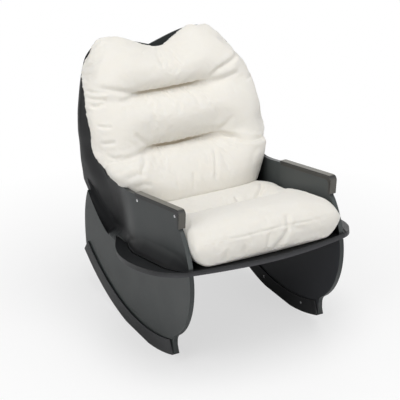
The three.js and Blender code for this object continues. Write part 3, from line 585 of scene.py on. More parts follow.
def fillet_section(back):
    """The fillet's closed outline at one place along the deck, as (across, up)."""
    rising = float(np.interp(back, panel_edge[:, 1], panel_edge[:, 2])) + shell_lift
    past_shelf = float(smooth((back - fillet_start) / 0.02))
    foot = rising if back > panel_edge[0, 1] else -(deck_thickness + 0.001) * past_shelf
    top = max(foot, 0) + fillet_height + 0.014 * float(smooth((back - 0.64) / 0.06))
    wall = [float(side_half_width(back, max(h, 0))) for h in (foot, top)]
    ending = smooth((fillet_end - back) / 0.02)
    reach = wall[0] + (fillet_half_width - wall[0]) * ending
    tall = top - foot
    upright = past_shelf * float(smooth((0.68 - back) / 0.05))
    start = np.array((reach, foot))
    hollow = np.array((reach - 0.62 * (reach - wall[1]), foot))
    proud = np.array((reach + fillet_bulge, foot + 0.5 * tall))
    first = hollow + (proud - hollow) * upright
    second = np.array((wall[1] + 0.0004, top - 0.55 * tall))
    last = np.array((wall[1] - 0.0004, top))
    t = np.linspace(0, 1, 19)[:, None]
    curve = (1 - t) ** 3 * start + 3 * (1 - t) ** 2 * t * first + 3 * (1 - t) * t * t * second + t ** 3 * last
    inside = [(wall[1] - 0.004, top - 0.002), (wall[0] - 0.004, max(foot, 0) + 0.001), (wall[0] - 0.004, foot)]
    return np.concatenate([curve, inside])


def fillet_piece(side, sign):
    places = np.linspace(fillet_start, fillet_end, 79)
    sections = [fillet_section(back) for back in places]
    count = len(sections[0])
    points = np.concatenate([np.column_stack([sign * rows[:, 0], np.full(count, back), rows[:, 1]])
                             for back, rows in zip(places, sections)])
    faces = [tuple(range(count)), tuple(range(len(points) - 1, len(points) - 1 - count, -1))]
    for k in range(len(places) - 1):
        a, b = k * count, (k + 1) * count
        faces += [(a + r, a + (r + 1) % count, b + (r + 1) % count, b + r) for r in range(count)]
    piece = smooth_shaded(faced_out(new_piece(side + "_shell_fillet", on_deck(points), faces)))
    piece.data.set_sharp_from_angle(angle=radians(50))
    return painted_light_on_shell(piece)


for side, sign in (("left", -1), ("right", 1)):
    finished(fillet_piece(side, sign), "frame", "shell", shell_finish)

# Support panel. A thin reclined board inside the shell that the back cushion leans on.
support_edge_radius = 0.002
support_board = rounded_copy("back_support_panel", support_edge_radius)
finished(support_board, "frame", "shell", shell_finish, "back_support_panel")

# Arm caps. A channel of matt dark plastic slipped over each arm's top edge and down its front corner,
# with generously rounded edges, held by two screws from the outside.
cap_length = 0.372
cap_thickness = 0.009
cap_flange = 0.018
cap_foot = arm_height * 0.7
cap_strip = 0.0078
cap_rounding = 0.007
cap_lip = 0.0024
cap_inset = 0.001
cap_front_overlap = 0.0008
cap_edge_angle = 50
cap_ribbon = 0.0048
cap_edge_radius = 0.0012
cap_ribbon_radius = 0.0022
# The cap's second, pale olive colour is painted reflection and painted light, set by the mark below.
cap_finish = moulded("cap_matt", (0.009, 0.009, 0.011), 0.5, 0.2, 700, gloss=0.35, painted_light=(0.185, 0.178, 0.155))


def quadratic(a, b, c, steps=6):
    t = np.linspace(0, 1, steps)[:, None]
    return ((1 - t) ** 2 * np.array(a) + 2 * t * (1 - t) * np.array(b) + t ** 2 * np.array(c)).tolist()


def slab_across(name, outline, x0, x1):
    """A profile drawn along and above the deck, extruded across it."""
    count = len(outline)
    points = on_deck([(x, s, h) for x in (x0, x1) for s, h in outline])
    faces = [tuple(range(count)), tuple(range(2 * count - 1, count - 1, -1))]
    faces += [(k, k + count, (k + 1) % count + count, (k + 1) % count) for k in range(count)]
    return faced_out(new_piece(name, points, faces))


def arm_front(height):
    return float(arm_front_rake * through(arm_front_shares, height / arm_height))


def cap_over(inset):
    """The cap's line over the arm and down its front, set in by a distance."""
    top = arm_height + cap_thickness - inset
    front_top, front_foot = (arm_front(h) - cap_thickness + inset for h in (arm_height, cap_foot))
    bend = quadratic((front_top + cap_rounding * 3, top), (front_top + cap_rounding * 0.3, top),
                     (front_top, top - cap_rounding * 2.4))
    return [(cap_length, top)] + bend + [(front_foot, cap_foot)]


def cap_flange_outline():
    """The cap seen from the side, behind its rounded ribbon: over the arm, down its front and back under."""
    under = arm_height + cap_thickness - cap_flange
    strip = arm_front(cap_foot) + cap_thickness
    bend = quadratic((strip - cap_strip, under - cap_rounding * 2), (strip - cap_rounding, under),
                     (strip + cap_rounding * 1.5, under))
    return cap_over(cap_inset) + [(strip, cap_foot)] + bend + [(cap_length, under)]


def arm_room_outline():
    """The arm's own top and front, a hair wider, that is cut out of the cap."""
    low = arm_height * 0.5
    rows = [(cap_length + 0.02, low), (cap_length + 0.02, arm_height + rail_fit)]
    return rows + [(arm_front(h) - cap_front_overlap, h + (rail_fit if k == 0 else 0))
                   for k, h in enumerate(np.linspace(arm_height, low, 20))]


for side, sign in (("left", -1), ("right", 1)):
    node = side + "_arm_cap"
    low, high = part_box(node)
    cap = slab_across(node + "_shown", cap_flange_outline(), low.x + cap_lip, high.x - cap_lip)
    ease_edges(cap, cap_edge_radius, 2, cap_edge_angle)
    edges = sorted((sign * (arm_half_width + rail_fit), sign * (arm_half_width - panel_thickness - rail_fit)))
    cutter = slab_across("arm_room", arm_room_outline(), *edges)
    channel = cap.modifiers.new("channel", "BOOLEAN")
    channel.operation = "DIFFERENCE"
    channel.object = cutter
    channel.solver = "EXACT"
    settled(cap)
    bpy.data.objects.remove(cutter)
    ribbon = slab_across("cap_ribbon", cap_over(0) + cap_over(cap_ribbon)[::-1], low.x, high.x)
    ease_edges(ribbon, cap_ribbon_radius, 3, cap_edge_angle)
    with bpy.context.temp_override(active_object=cap, selected_editable_objects=[cap, ribbon]):
        bpy.ops.object.join()
    # Painted reflection and light: the cap's top gets the pale olive colour standing in for the cushion's
    # reflection; its front and inner faces get a paler colour, as if lit.
    turned = points_of(cap, "normal")
    rise = turned @ np.array(deck_normal)
    top_painted_reflection = smooth((rise - 0.86) / 0.1) * (along_deck(points_of(cap))[:, 2] > arm_height)
    faces_painted_light = np.where(turned[:, 1] < -0.3, 0.6, np.where(turned[:, 0] * np.sign(low.x) < -0.3, 0.24, 0.09))
    mark(cap, "painted_light", np.maximum(faces_painted_light * smooth(1 - rise / 0.9), top_painted_reflection))
    finished(cap, "frame", "cap", cap_finish, node)

# Screws. Bright steel screws with a chamfered round head and a hexagon socket: in the arm caps, the
# runner rails, the shell's foot and the brackets. One tree sets a head and shank at each place.
screw_finish = bpy.data.materials.new("bright_steel")
screw_finish.use_nodes = True
add = adder(screw_finish.node_tree)
brushing = add("ShaderNodeTexNoise", {"Vector": add("ShaderNodeTexCoord").outputs["Object"], "Scale": 2500})
wire(screw_finish.node_tree, screw_finish.node_tree.nodes["Principled BSDF"], {
    "Metallic": 1,
    "Roughness": add("ShaderNodeMapRange", {"Value": brushing, "To Min": 0.18, "To Max": 0.34}),
    "Base Color": add("ShaderNodeMix", {
        "Factor": brushing, "A": (0.72, 0.72, 0.73, 1), "B": (0.86, 0.86, 0.86, 1)}, data_type="RGBA")})


def set_along(add, given, mesh, name, axis):
    """Ends a tree: the mesh set at each given point, its axis along the points' attribute of that name."""
    way = add("GeometryNodeInputNamedAttribute", {"Name": name}, data_type="FLOAT_VECTOR")
    turn = add("FunctionNodeAlignRotationToVector", {"Vector": way}, axis=axis)
    realised(add, add("GeometryNodeInstanceOnPoints", {
        "Points": given["Geometry"], "Instance": mesh, "Rotation": turn}), given)


def screw_tree():
    """A head with a chamfer and a hexagon socket on a plain shank, at each point, turned along its aim."""
    tree, add, given = new_tree("screws", "GeometryNodeTree", (
        ("Geometry", "Geometry", None),
        ("Head radius", "Float", 0.005),
        ("Head height", "Float", 0.0024),
        ("Shank radius", "Float", 0.002),
        ("Shank length", "Float", 0.012),
        ("Finish", "Material", None)), (("Geometry", "Geometry"),))
    head, tall, length = (given[name] for name in ("Head radius", "Head height", "Shank length"))

    def cylinder(sides, radius, depth):
        return add("GeometryNodeMeshCylinder", {"Vertices": sides, "Radius": radius, "Depth": depth})

    def raised(mesh, socket, factor):
        offset = add("ShaderNodeCombineXYZ", {"Z": times(add, socket, factor)})
        return add("GeometryNodeTransform", {"Geometry": mesh, "Translation": offset})

    collar = add("GeometryNodeMeshCone", {
        "Vertices": 28, "Radius Top": times(add, head, 0.72), "Radius Bottom": head,
        "Depth": times(add, tall, 0.45)})
    solid = add("GeometryNodeMeshBoolean", {"Mesh 2": [
        raised(collar, tall, 0.55),
        raised(cylinder(28, head, times(add, tall, 0.55)), tall, 0.275),
        raised(cylinder(16, given["Shank radius"], length), length, -0.49)]}, operation="UNION", solver="EXACT")
    hexagon = raised(cylinder(6, times(add, head, 0.42), times(add, tall, 1.4)), tall, 1.1)
    bored = add("GeometryNodeMeshBoolean", {"Mesh 1": solid, "Mesh 2": hexagon},
                operation="DIFFERENCE", solver="EXACT")
    set_along(add, given, bored, "aim", "Z")
    return tree


screws = screw_tree()
down = tuple(-v for v in deck_normal)
screw_sets = {
    "cap_screws": ("cap_screw", (0.0055, 0.0024, 0.0022, 0.013)),
    "rail_screws": ("rail_screw", (0.005, 0.0022, 0.002, 0.012)),
    "shell_screws": ("shell_screw", (0.006, 0.0026, 0.0024, 0.027)),
    "bracket_screws": ("bracket_screw", (0.005, 0.0024, 0.0021, 0.012))}


def screw_aim(node):
    """Which way a screw's head looks, from where it stands on the chair."""
    side = -1 if "left" in node else 1
    if "shell" in node:
        return down
    if "cap" in node:
        return (side, 0, 0)
    if "bracket" in node and node.endswith("_2"):
        return back_along
    return (-side, 0, 0)


for name, (stem, (head, tall, shank, length)) in screw_sets.items():
    nodes = sorted(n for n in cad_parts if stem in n)
    points, aims = [], []
    for node in nodes:
        corners = points_of(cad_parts[node])
        aim = np.array(screw_aim(node))
        reach = corners @ aim
        middle = (corners.min(0) + corners.max(0)) / 2
        points.append(middle + aim * (reach.max() - tall - middle @ aim))
        aims.append(aim)
    piece = new_piece(name, points, [])
    mark(piece, "aim", aims, "FLOAT_VECTOR")
    grown(piece, screws, {"Head radius": head, "Head height": tall, "Shank radius": shank, "Shank length": length,
                          "Finish": screw_finish})
    finished(piece, "frame", "steel", screw_finish, *nodes)

# Seat cushion. Off-white cotton over loose filling: a full roll at the front, a sewn crease across its
# middle and a lower rear half that the back cushion stands on. It lies loose on the deck between the arms.
seat_length = 0.655
seat_front = -0.052
seat_height = 0.16
seat_rear_height = 0.13
seat_taper = 0.042
seat_crease = 0.286
seat_rear_rise = ((0.42, 0.1305), (0.46, 0.1305), (0.5, 0.129), (0.6, 0.129))
seat_middle_rise = ((-0.05, 0.118), (0, 0.14), (0.06, 0.15), (0.12, 0.147), (0.19, 0.131), (0.25, 0.11),
                    (0.286, 0.102), (0.33, 0.115), (0.38, 0.128)) + seat_rear_rise
seat_side_rise = ((-0.05, 0.11), (0, 0.13), (0.05, 0.139), (0.14, 0.141), (0.25, 0.137),
                  (0.316, 0.128)) + seat_rear_rise
arm_inside = arm_half_width - panel_thickness
arm_clearance = 0.003
lying_height = 0.0006
sewn_swell = 0.2
channel_shade_width = 0.0034
pucker_height = 0.2
pucker_place = 0.013
pucker_pitch = 0.0036


def woven_surface_group():
    """Plain cotton weave with slubs, soft crumples, a faint uneven tone and painted warm shade in the sewn
    channels.
    """
    group, add, given = new_tree("woven_surface", "ShaderNodeTree", (
        ("Colour", "Color", (0.8, 0.77, 0.71, 1)),
        ("Crease shade colour", "Color", (0.6, 0.52, 0.4, 1)),
        ("Thread size", "Float", 700),
        ("Thread depth", "Float", 0.35),
        ("Crumple size", "Float", 38),
        ("Crumple depth", "Float", 0.5)), surface_outputs)
    place = add("ShaderNodeTexCoord").outputs["Object"]
    threads = [add("ShaderNodeTexWave", {
        "Vector": place, "Scale": given["Thread size"], "Distortion": 1.2, "Detail": 1},
        bands_direction=axis).outputs["Fac"] for axis in ("X", "DIAGONAL")]
    weave = add("ShaderNodeMath", {0: threads[0], 1: threads[1]}, operation="MAXIMUM")
    crumple = add("ShaderNodeTexNoise", {
        "Vector": place, "Scale": given["Crumple size"], "Detail": 5, "Roughness": 0.55, "Distortion": 0.6})
    soft = add("ShaderNodeBump", {"Distance": 0.004, "Strength": given["Crumple depth"], "Height": crumple})
    fine = add("ShaderNodeBump", {
        "Distance": 0.0003, "Strength": given["Thread depth"], "Height": weave, "Normal": soft})
    level = add("ShaderNodeMapRange", {"Value": crumple, "To Min": 0.975, "To Max": 1.02})
    # Painted shade: along the sewn channels the colour is mixed towards a darker warm one, standing in for the
    # shade in them.
    sewn = add("ShaderNodeAttribute", attribute_name="painted_crease_shade").outputs["Fac"]
    crease_shaded_tone = add("ShaderNodeMix", {"Factor": sewn, "A": given["Colour"], "B": given["Crease shade colour"]},
                 data_type="RGBA")
    tone = add("ShaderNodeHueSaturation", {"Value": level, "Color": crease_shaded_tone})
    dry = add("ShaderNodeMapRange", {"Value": weave, "To Min": 0.86, "To Max": 0.98})
    add("NodeGroupOutput", {"Colour": tone, "Roughness": dry, "Normal": fine})
    return group


woven_surface = woven_surface_group()


def woven(name, colour, sizes=None):
    """Cotton cloth in its own colour and with its own sizes of thread and crumple."""
    return coated(name, woven_surface, {"Colour": (*colour, 1), **(sizes or {})}, {
        "Sheen Weight": 0.15, "Subsurface Weight": 0.3, "Subsurface Radius": (1, 0.92, 0.78),
        "Subsurface Scale": 0.012, "Specular IOR Level": 0.25})


def deck_normals(piece):
    """The surface's directions: across, back along the deck and up from it."""
    x, y, z = points_of(piece, "normal").T
    return np.stack([x, y * cos(deck_tilt) - z * sin(deck_tilt), y * sin(deck_tilt) + z * cos(deck_tilt)], 1)


def puff(t, sharpness):
    return np.sqrt(np.clip(1 - np.abs(t) ** sharpness, 0, 1))


def pillow(name, surface, rows=110, columns=96):
    """A closed pad from its upper and lower surfaces over a grid, close together at its edges."""
    a, b = np.meshgrid(np.sin(np.linspace(-pi / 2, pi / 2, columns)), np.sin(np.linspace(-pi / 2, pi / 2, rows)))
    sides = [np.stack(surface(a, b, upper), 2).reshape(-1, 3) for upper in (True, False)]
    at = np.arange(rows * columns).reshape(rows, columns)
    quads = np.stack([at[:-1, :-1], at[:-1, 1:], at[1:, 1:], at[1:, :-1]], 2).reshape(-1, 4)
    faces = np.concatenate([quads, quads[:, ::-1] + rows * columns])
    return faced_out(new_piece(name, on_deck(np.concatenate(sides)), faces.tolist()), 1e-5)


def filled(piece, held, swell, pressure, slack, frames):
    """Swells a closed cloth from within by a simulation, and lets no point move further than the swell."""
    start = points_of(piece)
    pins = piece.vertex_groups.new(name="held")
    weights = held(along_deck(start), deck_normals(piece))
    for level in np.linspace(0.05, 1, 20):
        chosen = np.flatnonzero(np.abs(weights - level) <= 0.025)
        pins.add(chosen.tolist(), float(level), "REPLACE")
    cloth = piece.modifiers.new("filling", "CLOTH")
    for name, value in (("use_pressure", True), ("uniform_pressure_force", pressure), ("shrink_min", slack),
                        ("vertex_group_mass", "held"), ("pin_stiffness", 1), ("quality", 4),
                        ("bending_stiffness", 1.2)):
        setattr(cloth.settings, name, value)
    cloth.settings.effector_weights.gravity = 0
    cloth.point_cache.frame_start = 1
    cloth.point_cache.frame_end = frames
    for step in range(1, frames + 1):
        bpy.context.scene.frame_set(step)
    settled(piece)
    bpy.context.scene.frame_set(1)
    moved = points_of(piece) - start
    far = np.linalg.norm(moved, axis=1, keepdims=True)
    put_points(piece, start + moved * np.minimum(1, swell / np.maximum(far, 1e-9)))
    piece.vertex_groups.clear()


def stuffed(piece, held, inside, voxel=0.006, swell=0.026, pressure=4.0, slack=-0.009, frames=14):
    """Meshes a pad evenly, fills it where it isn't held, smooths it and keeps it within its room."""
    remesh = piece.modifiers.new("even_mesh", "REMESH")
    remesh.mode = "VOXEL"
    remesh.voxel_size = voxel
    settled(piece)
    filled(piece, held, swell, pressure, slack, frames)
    finer = piece.modifiers.new("finer", "SUBSURF")
    finer.levels = finer.render_levels = 1
    settled(piece)
    put_points(piece, on_deck(inside(along_deck(points_of(piece)))))
    return smooth_shaded(piece)


def along_line(flat, line):
    """How far each flat point lies from a bent line, how far along the line, and the line's length."""
    steps = np.diff(line, axis=0)
    lengths = np.linalg.norm(steps, axis=1)
    near, run = np.full(len(flat), 1.0), np.zeros(len(flat))
    before = 0.0
    for start, step, length in zip(line[:-1], steps, lengths):
        t = np.clip(((flat - start) @ step) / length ** 2, 0, 1)
        away = np.linalg.norm(flat - start - t[:, None] * step, axis=1)
        closer = away < near
        near, run = np.where(closer, away, near), np.where(closer, before + t * length, run)
        before += length
    return near, run, lengths.sum()


def pressed_in(piece, facing, folds):
    """Presses folds into a pad seen from the front (across, up) or from above (across, back).

    A fold is (its line, depth, width, swell of its sides). The line's ends fade out. One whose sides swell little
    is a sewn channel, with puckers beside it and painted warm shade in it."""
    place, turn = along_deck(points_of(piece)), deck_normals(piece)
    plane = (0, 2) if facing == "front" else (0, 1)
    seen = smooth((-turn[:, 1] if facing == "front" else turn[:, 2]) * 2.2 - 0.1)
    push, painted_crease_shade = np.zeros(len(place)), np.zeros(len(place))
    for line, depth, width, swell in folds:
        near, run, whole = along_line(place[:, plane], np.array(line, float))
        share = run / whole
        fade = smooth(share * 4) * smooth((1 - share) * 4)
        groove = np.exp(-(near / width) ** 2) - swell * np.exp(-((near - 2.3 * width) / (1.3 * width)) ** 2)
        if swell < sewn_swell:
            uneven = np.cos(run / pucker_pitch + 2.2 * np.sin(run / 0.013))
            groove = groove + pucker_height * (uneven * np.exp(-((near - pucker_place) / 0.011) ** 2))
            # Painted shade: marks a darker warm colour along the channel's line.
            painted_crease_shade = np.maximum(painted_crease_shade, fade * np.exp(-(near / channel_shade_width) ** 2))
        push += depth * fade * groove
    before = np.zeros(len(place))
    if piece.data.attributes.get("painted_crease_shade"):
        piece.data.attributes["painted_crease_shade"].data.foreach_get("value", before)
    mark(piece, "painted_crease_shade", np.maximum(before, painted_crease_shade * (seen > 0.3)))
    put_points(piece, points_of(piece) - points_of(piece, "normal") * (push * seen)[:, None])
    return piece


def seat_surface(a, b, upper):
    """The seat pad's upper or lower surface over a grid that runs across (a) and back (b)."""
    middle = seat_front + seat_length / 2
    seam = seat_height * 0.45
    back = middle + b * seat_length / 2 * np.where(b < 0, 1 - 0.04 * a * a - 0.055 * a ** 8, 1)
    waist = seat_taper * smooth((back - arm_length * 0.9) / (arm_length * 0.3))
    reach = arm_inside - arm_clearance - waist
    side = smooth((np.abs(a) - 0.45) / 0.45)
    crown = through(seat_middle_rise, back) * (1 - side) + through(seat_side_rise, back) * side
    if upper:
        return a * reach, back, seam + (crown - seam) * puff(a, 24) * puff(b, 9)
    ends = np.minimum(1, puff(b, 8) * 1.2)
    return a * reach, back, seam - (seam - 0.0008) * np.minimum(1, puff(a, 6) * 1.2) * ends


def seat_held(place, turn):
    """Held along the sewn crease, where it lies on the deck and under the back cushion."""
    x, back, up = place.T
    crease = np.exp(-((back - seat_crease) / 0.012) ** 2) * (1 - smooth((np.abs(x) - 0.15) / 0.06))
    crease = crease * (turn[:, 2] > 0.2)
    lying = smooth((0.02 - up) / 0.012) * smooth(-turn[:, 2] * 2)
    under = smooth((back - 0.425) / 0.04)
    return np.clip(np.maximum(np.maximum(crease, lying), under), 0, 1)


def seat_inside(place):
    x, back, up = place.T
    side = np.clip(x, -arm_inside + 0.001, arm_inside - 0.001)
    return np.stack([side, back, np.maximum(up, lying_height)], 1)


cotton = woven("cotton_cover", (0.8, 0.775, 0.72))
seat_pad = stuffed(pillow("seat_cushion_shown", seat_surface), seat_held, seat_inside)
pressed_in(seat_pad, "top", (
    (((-0.21, 0.268), (-0.1, 0.28), (0, 0.286), (0.11, 0.286)), 0.0053, 0.0069, 0.15),
    (((0.08, 0.28), (0.14, 0.305), (0.19, 0.35), (0.225, 0.41)), 0.009, 0.007, 0.3),
    (((0.1, 0.286), (0.2, 0.272), (0.285, 0.25)), 0.003, 0.0092, 0.2),
    (((-0.1, 0.285), (-0.15, 0.33), (-0.17, 0.38)), 0.0023, 0.008, 0.3),
    (((0.02, 0.286), (0.03, 0.335), (0.02, 0.38)), 0.0023, 0.0092, 0.3),
    (((-0.04, 0.28), (-0.055, 0.23), (-0.05, 0.18)), 0.0019, 0.0092, 0.3),
    (((0.09, 0.28), (0.12, 0.235), (0.13, 0.19)), 0.0019, 0.0092, 0.3)))
pressed_in(seat_pad, "front", (
    (((-0.285, 0.094), (-0.21, 0.096), (-0.1, 0.091), (0.05, 0.095), (0.14, 0.09), (0.285, 0.088)),
     0.0021, 0.004, 0.3),
    (((0.075, 0.13), (0.066, 0.1), (0.064, 0.07)), 0.0065, 0.008, 0.3),
    (((0.066, 0.088), (0.045, 0.06), (0.015, 0.035), (-0.005, 0.012)), 0.008, 0.009, 0.3),
    (((0.066, 0.09), (0.1, 0.075), (0.13, 0.068)), 0.0037, 0.0069, 0.3),
    (((-0.226, 0.12), (-0.222, 0.083), (-0.217, 0.046)), 0.0015, 0.008, 0.3),
    (((-0.184, 0.065), (-0.18, 0.04), (-0.178, 0.015)), 0.003, 0.009, 0.3),
    (((-0.12, 0.05), (-0.105, 0.03), (-0.1, 0.01)), 0.0025, 0.009, 0.3),
    (((0.19, 0.06), (0.2, 0.04), (0.2, 0.015)), 0.0037, 0.008, 0.3)))
thread = woven("sewing_thread", (0.73, 0.7, 0.63), {"Thread size": 2600, "Crumple size": 120})


def stitch_tree():
    """A short rounded stitch at each point, turned along its seam."""
    tree, add, given = new_tree("stitches", "GeometryNodeTree", (
        ("Geometry", "Geometry", None),
        ("Half length", "Float", 0.0022),
        ("Thread radius", "Float", 0.0005),
        ("Finish", "Material", None)), (("Geometry", "Geometry"),))
    thin = given["Thread radius"]
    reach = add("ShaderNodeCombineXYZ", {"X": given["Half length"], "Y": thin, "Z": thin})
    ball = add("GeometryNodeMeshUVSphere", {"Segments": 6, "Rings": 4, "Radius": 1})
    set_along(add, given, add("GeometryNodeTransform", {"Geometry": ball, "Scale": reach}), "along", "X")
    return tree


stitches = stitch_tree()


def stitched(name, pad, seams, pitch=0.0068):
    """Sews along lines on a pad, each seen from the front (across, up) or from above (across, back)."""
    cover = BVHTree.FromPolygons([v.co for v in pad.data.vertices], [p.vertices for p in pad.data.polygons])
    points, ways = [], []
    for facing, line in seams:
        line = np.array(line, float)
        run = np.concatenate([[0], np.cumsum(np.linalg.norm(np.diff(line, axis=0), axis=1))])
        places = np.arange(pitch / 2, run[-1], pitch)
        across, other = (np.interp(places, run, line[:, k]) for k in (0, 1))
        front = facing == "front"
        aim = Vector(back_along if front else down)
        rows = [across, -0.3 + 0 * other, other] if front else [across, other, 0.4 + 0 * other]
        met = [cover.ray_cast(Vector(start), aim)[:2] for start in on_deck(np.stack(rows, 1))]
        sewn = [np.array(place + normal * 0.0002) for place, normal in met if place]
        points += sewn
        ways += list(np.gradient(np.array(sewn), axis=0))
    piece = new_piece(name, points, [])
    mark(piece, "along", ways, "FLOAT_VECTOR")
    return grown(piece, stitches, {"Half length": 0.0022, "Thread radius": 0.0005, "Finish": thread})


finished(seat_pad, "seat_cushion", "cotton", cotton, "seat_cushion")
finished(stitched("seat_stitching", seat_pad, (
    ("top", ((-0.2, 0.27), (-0.1, 0.281), (0, 0.286), (0.11, 0.286))),
    ("front", ((-0.27, 0.088), (-0.21, 0.09), (-0.1, 0.085), (0.05, 0.089))),
    ("front", ((0.09, 0.087), (0.14, 0.084), (0.27, 0.082))))), "seat_cushion", "cotton", thread)

# Back cushion. Three soft rolls between two sewn channels that fade towards the sides, with an ear at
# each top corner. It leans on the support panel and stands on the seat cushion.
back_height = 0.56
back_half_width = 0.345
back_reach = 0.757
support_foot = 0.6022
support_top = 0.7174
support_height = 0.615
sunk_foot = 0.013
ear_start = 0.66
ear_run = 0.34
notch_height = 0.283
off_support = 0.0012
tuft_lines = ((0.311, 0.13), (0.503, 0.13))
back_middle_shares = (
    (0, 0.575), (0.04, 0.566), (0.12, 0.572), (0.19, 0.592), (0.27, 0.672), (0.322, 0.755), (0.345, 0.745),
    (0.41, 0.72), (0.5, 0.72), (0.6, 0.758), (0.665, 0.832), (0.69, 0.822), (0.75, 0.797), (0.82, 0.812),
    (0.92, 0.868), (1, 0.91))
back_side_shares = (
    (0, 0.575), (0.05, 0.564), (0.12, 0.563), (0.19, 0.575), (0.27, 0.614), (0.322, 0.672), (0.36, 0.682),
    (0.43, 0.695), (0.51, 0.715), (0.6, 0.748), (0.665, 0.779), (0.7, 0.782), (0.76, 0.79), (0.83, 0.815),
    (0.92, 0.868), (1, 0.91))
back_seam_shares = ((0, 0.72), (0.1, 0.69), (0.19, 0.66), (0.25, 0.675), (0.32, 0.73), (0.4, 0.765), (0.51, 0.78),
                    (0.71, 0.85), (0.92, 0.96), (1, 0.985))
back_width_shares = ((0, 0.83), (0.08, 0.855), (0.16, 0.89), (0.2, 0.92), (0.25, 0.955), (0.32, 0.985), (0.6, 1),
                     (0.76, 0.96), (0.86, 0.9), (0.95, 0.81), (1, 0.74))
ear_shares = ((0, -0.064), (0.15, -0.054), (0.43, -0.006), (0.62, 0.022), (0.82, 0.028), (0.93, 0.006),
              (1, -0.035))
ear_lift = ((-1, 0.004), (-0.8, 0.012), (-0.55, 0.014), (-0.2, 0.007), (0.05, 0.001), (0.25, 0.011), (0.5, 0.016),
            (0.75, 0.003))
left_overhang = ((0.06, 0), (0.16, 0.014), (0.25, 0.026), (0.4, 0.032), (0.6, 0.026), (0.75, 0.018), (0.9, 0.024),
                 (1, 0.026))


def support_face(height):
    return support_foot + (support_top - support_foot) * height / support_height


def back_surface(a, b, upper):
    share = (b + 1) / 2
    ears = back_height * through(ear_shares, np.abs(a)) + through(ear_lift, a)
    ears = ears * smooth((share - ear_start) / ear_run)
    height = seat_rear_height - sunk_foot + (back_height + 0.012) * share + ears
    width = (back_half_width - 0.004) * through(back_width_shares, share)
    width = width + np.where(a < 0, through(left_overhang, share), -0.014 * smooth((0.34 - share) / 0.1))
    width = width - 0.005 * np.exp(-((height - notch_height) / 0.014) ** 2)
    rear = support_face(height) - 0.002
    away = smooth((np.abs(a * width) - 0.1) / 0.15)
    crown = back_reach * (
        through(back_middle_shares, share) * (1 - away) + through(back_side_shares, share) * away)
    for line, reach in tuft_lines:
        beside = 1 - smooth((np.abs(a * width) - reach) / 0.1)
        crown = crown + 0.024 * np.exp(-np.abs(height - line) / 0.016) * beside
    seam = np.minimum(rear, back_reach * through(back_seam_shares, share))
    ends = np.where(b < 0, puff(b, 90), puff(b, 10))
    within = np.minimum(1, np.abs(a * width) / (recess_half_width(height) - panel_thickness * 1.3))
    within = np.maximum(within, np.abs(a) ** 4)
    if upper:
        return a * width, seam + (crown - seam) * puff(a, 4.5) * ends, height
    return a * width, seam + (rear - seam) * (1 - within ** 6) * ends, height


def back_held(place, turn):
    """Held along the two sewn channels, against the support panel and where it stands on the seat."""
    x, back, up = place.T
    facing = turn[:, 1] < 0.3
    tufts = sum(np.exp(-((up - line) / 0.012) ** 2) * (1 - smooth((np.abs(x) - reach) / 0.08)) * facing
                for line, reach in tuft_lines)
    leaning = smooth((back - support_face(up) + 0.03) / 0.02) * smooth(turn[:, 1] * 2)
    standing = smooth((seat_rear_height + 0.03 - up) / 0.02)
    return np.clip(np.maximum(np.maximum(tufts, leaning), standing), 0, 1)


shell_run = [(part, k / steps) for part, steps, count in (("arm", 4, 4), ("side", 30, 30), ("corner", 8, 9))
             for k in range(count)]
rim_rows = np.array([(float(shell_outline(part, t, np.array(shell_rim(part, t)))[1]), shell_rim(part, t))
                     for part, t in shell_run])


def back_inside(place):
    """Kept off the support panel and within the shell's walls below its rim."""
    x, back, up = place.T
    wall = panel_thickness + (shell_wall - panel_thickness) * smooth((back - arm_length) / 0.18)
    room = side_half_width(back, up) - wall - 0.001
    low = up < np.interp(back, rim_rows[:, 0], rim_rows[:, 1]) + 0.003
    side = np.where(low & (back > 0.2), np.clip(x, -room, room), x)
    rear = np.where(up < support_height, np.minimum(back, support_face(up) - off_support), back)
    return np.stack([side, rear, np.maximum(up, seat_rear_height - 0.0004)], 1)


